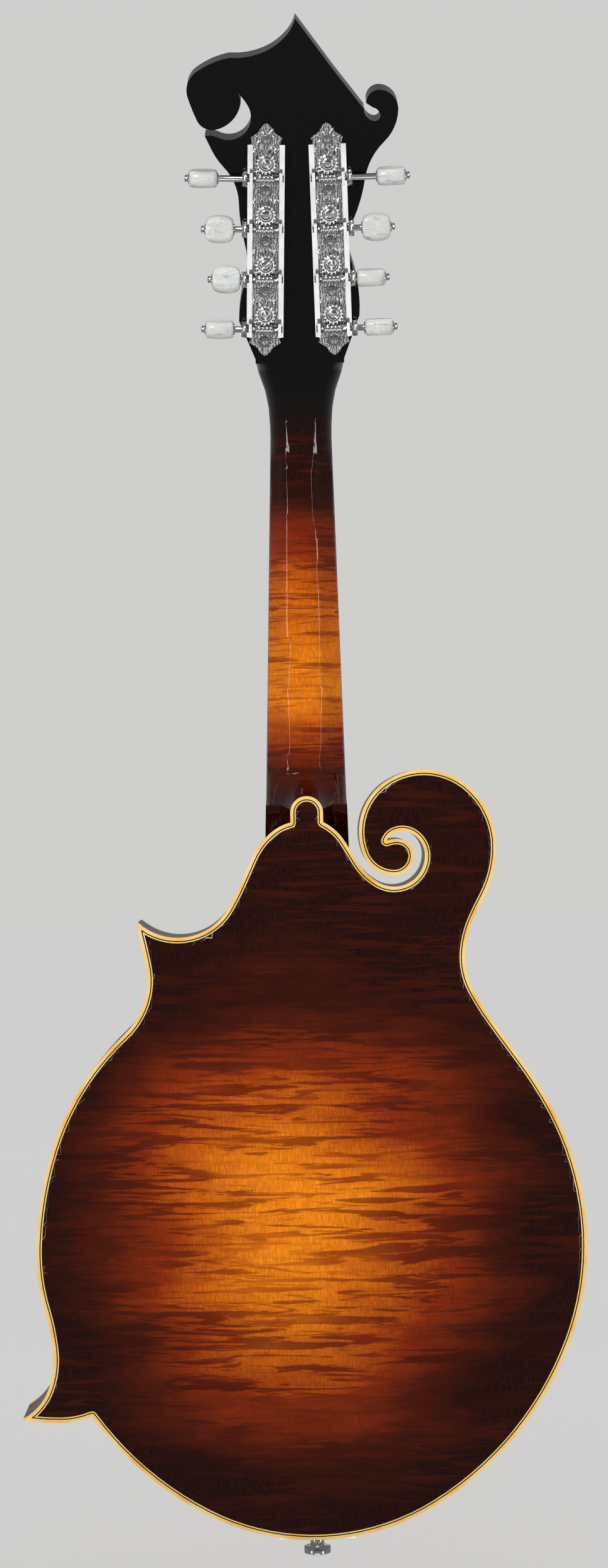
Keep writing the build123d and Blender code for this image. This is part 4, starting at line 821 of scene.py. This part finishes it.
def leaf_work(side, metal):
    """Cast leaves round each screw and curls beside each gear of one tuner plate."""
    form = bmesh.new()
    tall = metal.engraving
    small = leaf(3.0 * MM, 1.5 * MM, tall)
    large = leaf(3.9 * MM, 1.7 * MM, tall * 1.2)
    flip = Matrix.Diagonal((-1, 1, 1, 1))
    spots = [(count, -SCREW_BELOW_GEAR) for count in PLACES] + [(1, TOP_SCREW_ABOVE_GEAR)]
    for count, below in spots:
        home = machine(side, count) @ Matrix.Translation((0, below, PLATE_THICKNESS))
        for mirror in (Matrix.Identity(4), flip):
            for angle, source in ((-28, large), (-66, small), (-104, small), (-146, large)):
                stem = Matrix.Translation((0, 2.2 * MM, 0))
                spoke = Matrix.Rotation(radians(angle), 4, "Z") @ stem
                joined(form, source, home @ mirror @ spoke)
    for count in PLACES:
        home = machine(side, count) @ Matrix.Translation((0, 0, PLATE_THICKNESS))
        for across in (-1, 1):
            for up, start in ((4.9, 20), (-3.6, 200)):
                ring = curl(1.0 * MM, 0.34 * MM, radians(250), radians(start))
                joined(form, ring, home @ Matrix.Translation((across * 4.7 * MM, up * MM, 0)))
                ring.free()
    small.free()
    large.free()
    bmesh.ops.recalc_face_normals(form, faces=form.faces)
    return settle(form, f"plate_leaves_{side}", "nickel_leaf", "instrument")


def screw_turns(count):
    """Screws stop at whatever angle they bite: spread evenly by the golden angle."""
    return radians(137.5 * count + 20)


def screws():
    """Slotted heads over every small screw, each at its own angle."""
    form = welded("small_screws")
    heads = bmesh.new()
    number = 0
    for side in SIDES:
        spots = [(1, TOP_SCREW_ABOVE_GEAR)] + [(count, -SCREW_BELOW_GEAR) for count in PLACES]
        for count, below in spots:
            head = screw_head(2.25 * MM, 1.35 * MM, 0.62 * MM, screw_turns(number))
            seat = Matrix.Translation((0, below, PLATE_THICKNESS))
            joined(heads, head, machine(side, count) @ seat)
            head.free()
            number += 1
    # the heads take nickel_dark, whose darker tone is painted shade and dark reflection
    settle(heads, "plate_screw_heads", "nickel_dark", "instrument")
    return settle(form, "small_screws_finished", "steel", "instrument", ("small_screws",))


def button(side, count):
    """One button of pearl with its turned metal cap and shoulder washer."""
    node = f"button_{side}_{count}"
    knob = JOINTS[f"knob_{side}_{count}_turn"]
    axis = Vector(knob["axis"])
    origin = Vector(knob["pos_m"])
    form = welded(node)
    reach = [(vert.co - origin).dot(axis) for vert in form.verts]
    start, end = min(reach), max(reach)
    cap_from = end - BUTTON_CAP
    geometry = list(form.verts) + list(form.edges) + list(form.faces)
    bmesh.ops.bisect_plane(form, geom=geometry, dist=SLICE_WELD, plane_no=axis, clear_outer=True,
                           plane_co=origin + axis * (cap_from + WELD))
    rim = [edge for edge in form.edges if edge.is_boundary]
    bmesh.ops.holes_fill(form, edges=rim, sides=0)
    flat_faces(form)
    ends = [edge for edge in form.edges if len(edge.link_faces) == 2
            and edge.calc_face_angle(0) > radians(45)
            and all((vert.co - origin).cross(axis).length > SHAFT_CLEAR for vert in edge.verts)]
    bmesh.ops.bevel(form, geom=ends, offset=BUTTON_ROUNDING, offset_type="OFFSET", affect="EDGES",
                    segments=4, profile=0.5, material=-1, clamp_overlap=True)
    bmesh.ops.triangulate(form, faces=form.faces)
    body = BODY_OF[node]
    settle(form, f"{node}_pearl", "pearl", body, (node,), 40)
    cap = turned([(0, -0.3 * MM), (2.5 * MM, -0.3 * MM), (2.55 * MM, 0.35 * MM),
                  (1.6 * MM, 0.65 * MM), (1.35 * MM, 1.0 * MM), (1.75 * MM, 1.45 * MM),
                  (1.5 * MM, 1.95 * MM), (0.8 * MM, 2.2 * MM), (0, 2.25 * MM)])
    seat = frame_at(origin + axis * cap_from, axis.orthogonal(), axis)
    placed(cap, seat)
    settle(cap, f"button_cap_{side}_{count}", "nickel", body, (), 30)
    washer = turned([(1.2 * MM, -0.5 * MM), (2.4 * MM, -0.5 * MM), (2.7 * MM, -0.15 * MM),
                     (2.4 * MM, 0.15 * MM), (1.2 * MM, 0.15 * MM), (1.2 * MM, -0.5 * MM)])
    placed(washer, frame_at(origin + axis * start, axis.orthogonal(), axis))
    settle(washer, f"button_washer_{side}_{count}", "nickel", body, (), 30)


# ------------------------------------------------------------------ operators
class MANDOLIN_OT_body(bpy.types.Operator):
    """Carve and lacquer the plates, the sides and their bindings"""
    bl_idname = "mandolin.body"
    bl_label = "Body"

    def execute(self, context):
        carved_plates()
        for node in ("rib_scroll_side", "ribs_point_side", "back_binding", "top_binding",
                     "back_purfling_black", "top_purfling_black"):
            smooth_copy(node, angle=40)
        for node in ("head_block", "rim_blocks", "kerfed_linings", "tone_bars"):
            smooth_copy(node)
        return {"FINISHED"}


class MANDOLIN_OT_neck(bpy.types.Operator):
    """Lacquer the neck and head, and finish the fingerboard, frets and nut"""
    bl_idname = "mandolin.neck"
    bl_label = "Neck and head"

    def execute(self, context):
        smooth_neck()
        smooth_copy("head_overlay", angle=40, soften=context.scene.mandolin_trim.softening)
        for node in ("truss_rod_cover", "nut"):
            smooth_copy(node, angle=40, soften=0.5 * context.scene.mandolin_trim.softening)
        for node in ("fingerboard", "fingerboard_binding", "frets", "position_dots", "truss_rod"):
            smooth_copy(node)
        return {"FINISHED"}


class MANDOLIN_OT_machines(bpy.types.Operator):
    """Finish the tuner plates, worms, gears, screws and pearl buttons"""
    bl_idname = "mandolin.machines"
    bl_label = "Tuning machines"

    def execute(self, context):
        metal = context.scene.mandolin_metal
        for side in SIDES:
            tuner_plate(side)
            leaf_work(side, metal)
            for count in PLACES:
                smooth_copy(f"worm_shaft_{side}_{count}")
                smooth_copy(f"gear_post_{side}_{count}", soften=0.12 * MM)
                gear_cap(side, count)
                button(side, count)
        smooth_copy("post_bushings")
        screws()
        return {"FINISHED"}


class MANDOLIN_OT_fittings(bpy.types.Operator):
    """Finish the strings, bridge, tailpiece and end pin"""
    bl_idname = "mandolin.fittings"
    bl_label = "Strings and fittings"

    def execute(self, context):
        soft = context.scene.mandolin_trim.softening
        for node in ("strings_wound", "strings_plain", "bridge_posts", "bridge_wheel_bass",
                     "bridge_wheel_treble", "end_pin", "tailpiece_base"):
            smooth_copy(node)
        for node in ("bridge_base", "bridge_saddle", "tailpiece_cover"):
            smooth_copy(node, angle=30, soften=soft)
        return {"FINISHED"}


def area_light(name, place, aim, size, power, mirrored=True):
    data = bpy.data.lights.new(name, "AREA")
    data.shape = "RECTANGLE"
    data.size, data.size_y = size
    data.energy = power
    light = bpy.data.objects.new(name, data)
    bpy.context.scene.collection.objects.link(light)
    light.visible_glossy = mirrored
    light.visible_camera = False
    light.location = place
    light.rotation_euler = (Vector(aim) - Vector(place)).to_track_quat("-Z", "Y").to_euler()
    return light


def lights_only(light, pieces, leave_out=False):
    """Let a light fall on these pieces alone, or on everything but them."""
    group = bpy.data.collections.new(f"{light.name}_falls_on")
    for piece in pieces:
        group.objects.link(piece)
    for entry in group.collection_objects:
        entry.light_linking.link_state = "EXCLUDE" if leave_out else "INCLUDE"
    light.light_linking.receiver_collection = group


def world(strength):
    """Pale studio; the light it sheds is dimmer than it looks, so dark lacquer stays dark."""
    sky = bpy.data.worlds.new("studio")
    bpy.context.scene.world = sky
    sky.use_nodes = True
    nodes, links = sky.node_tree.nodes, sky.node_tree.links
    shed = nodes["Background"]
    shed.inputs["Color"].default_value = (0.80, 0.82, 0.86, 1)
    shed.inputs["Strength"].default_value = 0.24 * strength
    pale = nodes.new("ShaderNodeBackground")
    pale.inputs["Color"].default_value = (0.80, 0.80, 0.79, 1)
    pale.inputs["Strength"].default_value = 0.78 * strength
    seen = nodes.new("ShaderNodeLightPath")
    mix = nodes.new("ShaderNodeMixShader")
    links.new(seen.outputs["Is Camera Ray"], mix.inputs[0])
    links.new(shed.outputs[0], mix.inputs[1])
    links.new(pale.outputs[0], mix.inputs[2])
    links.new(mix.outputs[0], nodes["World Output"].inputs["Surface"])


class MANDOLIN_OT_stage(bpy.types.Operator):
    """Plain pale floor, soft studio lights and the camera"""
    bl_idname = "mandolin.stage"
    bl_label = "Stage"

    def execute(self, context):
        scene = context.scene
        stage = scene.mandolin_stage
        form = bmesh.new()
        bmesh.ops.create_grid(form, x_segments=1, y_segments=1, size=8.0)
        bmesh.ops.translate(form, verts=form.verts, vec=(0, 0, CAD_LOW.z - 0.04))
        mesh = bpy.data.meshes.new("floor")
        form.to_mesh(mesh)
        form.free()
        maker = Maker("floor_paper")
        tone = tuple(stage.floor)
        cloud = maker.noise(maker.mapped((3, 3, 3)), 1.0, 3.0)
        maker.set(Base_Color=maker.mix(cloud, tone, tuple(0.96 * c for c in tone)), Roughness=0.9,
                  Specular_IOR_Level=0.1)
        mesh.materials.append(maker.material)
        floor = bpy.data.objects.new("floor", mesh)
        scene.collection.objects.link(floor)
        floor.visible_glossy = False

        scene.view_settings.view_transform = "Standard"
        power = stage.light
        middle = (0, 0, TAIL_Z + 0.17)
        plated_pieces = [piece for piece in scene.objects if piece.type == "MESH"
                         and any(metal and metal.name.startswith("nickel")
                                 for metal in piece.data.materials)]
        lamps = [
            area_light("key", (-0.75, -1.25, 0.85), middle, (0.6, 0.6), 17 * power),
            area_light("fill", (0.95, -1.35, -0.1), middle, (0.35, 1.3), 7 * power, False),
            area_light("strip_left", (-0.85, -0.7, 0.0), (0, 0, -0.05), (0.05, 1.2), 2.6 * power),
            area_light("strip_right", (0.85, -0.7, 0.0), (0, 0, -0.05), (0.05, 1.2), 2.6 * power),
            area_light("front", (0.6, 1.5, 0.5), middle, (1.0, 1.2), 14 * power, False),
        ]
        for lamp in lamps:
            lights_only(lamp, [floor], leave_out=True)
        low = area_light("plating", (0, -1.1, -0.85), (0, 0.05, 0.12), (1.1, 0.8), 2.6 * power)
        high = area_light("plating_front", (0, 1.9, 0.5), middle, (1.4, 1.6), 4 * power)
        for lamp in (low, high):
            lights_only(lamp, plated_pieces)
        sun = bpy.data.lights.new("overhead", "SUN")
        sun.energy = 1.85 * power
        sun.angle = radians(35)
        overhead = bpy.data.objects.new("overhead", sun)
        scene.collection.objects.link(overhead)
        overhead.rotation_euler = (radians(-14), radians(8), 0)
        overhead.visible_glossy = False
        world(power)

        data = bpy.data.cameras.new("camera")
        data.sensor_fit = "VERTICAL"
        data.sensor_height = SENSOR
        data.sensor_width = SENSOR
        data.lens = SENSOR * stage.distance / VIEW_HEIGHT
        camera = bpy.data.objects.new("camera", data)
        scene.collection.objects.link(camera)
        camera.location = (-0.001, RIBS_LOW.y - 0.0047 - stage.distance, -0.162)
        level = Matrix.Rotation(pi / 2, 4, "X")
        camera.rotation_euler = (level @ Matrix.Rotation(stage.roll, 4, "Z")).to_euler()
        scene.camera = camera
        return {"FINISHED"}


class MANDOLIN_PT_panel(bpy.types.Panel):
    """Sizes, colours and builders of the mandolin's looks"""
    bl_label = "Mandolin"
    bl_idname = "MANDOLIN_PT_panel"
    bl_space_type = "VIEW_3D"
    bl_region_type = "UI"
    bl_category = "Mandolin"

    def draw(self, context):
        layout = self.layout
        for group in GROUPS:
            settings = getattr(context.scene, group)
            box = layout.box()
            for name in type(settings).__annotations__:
                box.prop(settings, name)
        for name in STEPS:
            layout.operator(f"mandolin.{name}")


GROUPS = {
    "mandolin_lacquer": MandolinLacquer,
    "mandolin_trim": MandolinTrim,
    "mandolin_metal": MandolinMetal,
    "mandolin_stage": MandolinStage,
}
STEPS = ("body", "neck", "machines", "fittings", "stage")
CLASSES = (*GROUPS.values(), MANDOLIN_OT_body, MANDOLIN_OT_neck, MANDOLIN_OT_machines,
           MANDOLIN_OT_fittings, MANDOLIN_OT_stage, MANDOLIN_PT_panel)


def register():
    for item in CLASSES:
        bpy.utils.register_class(item)
    for name, group in GROUPS.items():
        setattr(bpy.types.Scene, name, bpy.props.PointerProperty(type=group))


def unregister():
    for name in GROUPS:
        delattr(bpy.types.Scene, name)
    for item in reversed(CLASSES):
        bpy.utils.unregister_class(item)


def main():
    register()
    make_materials(bpy.context.scene)
    for name in STEPS:
        getattr(bpy.ops.mandolin, name)()


if __name__ == "__main__":
    main()
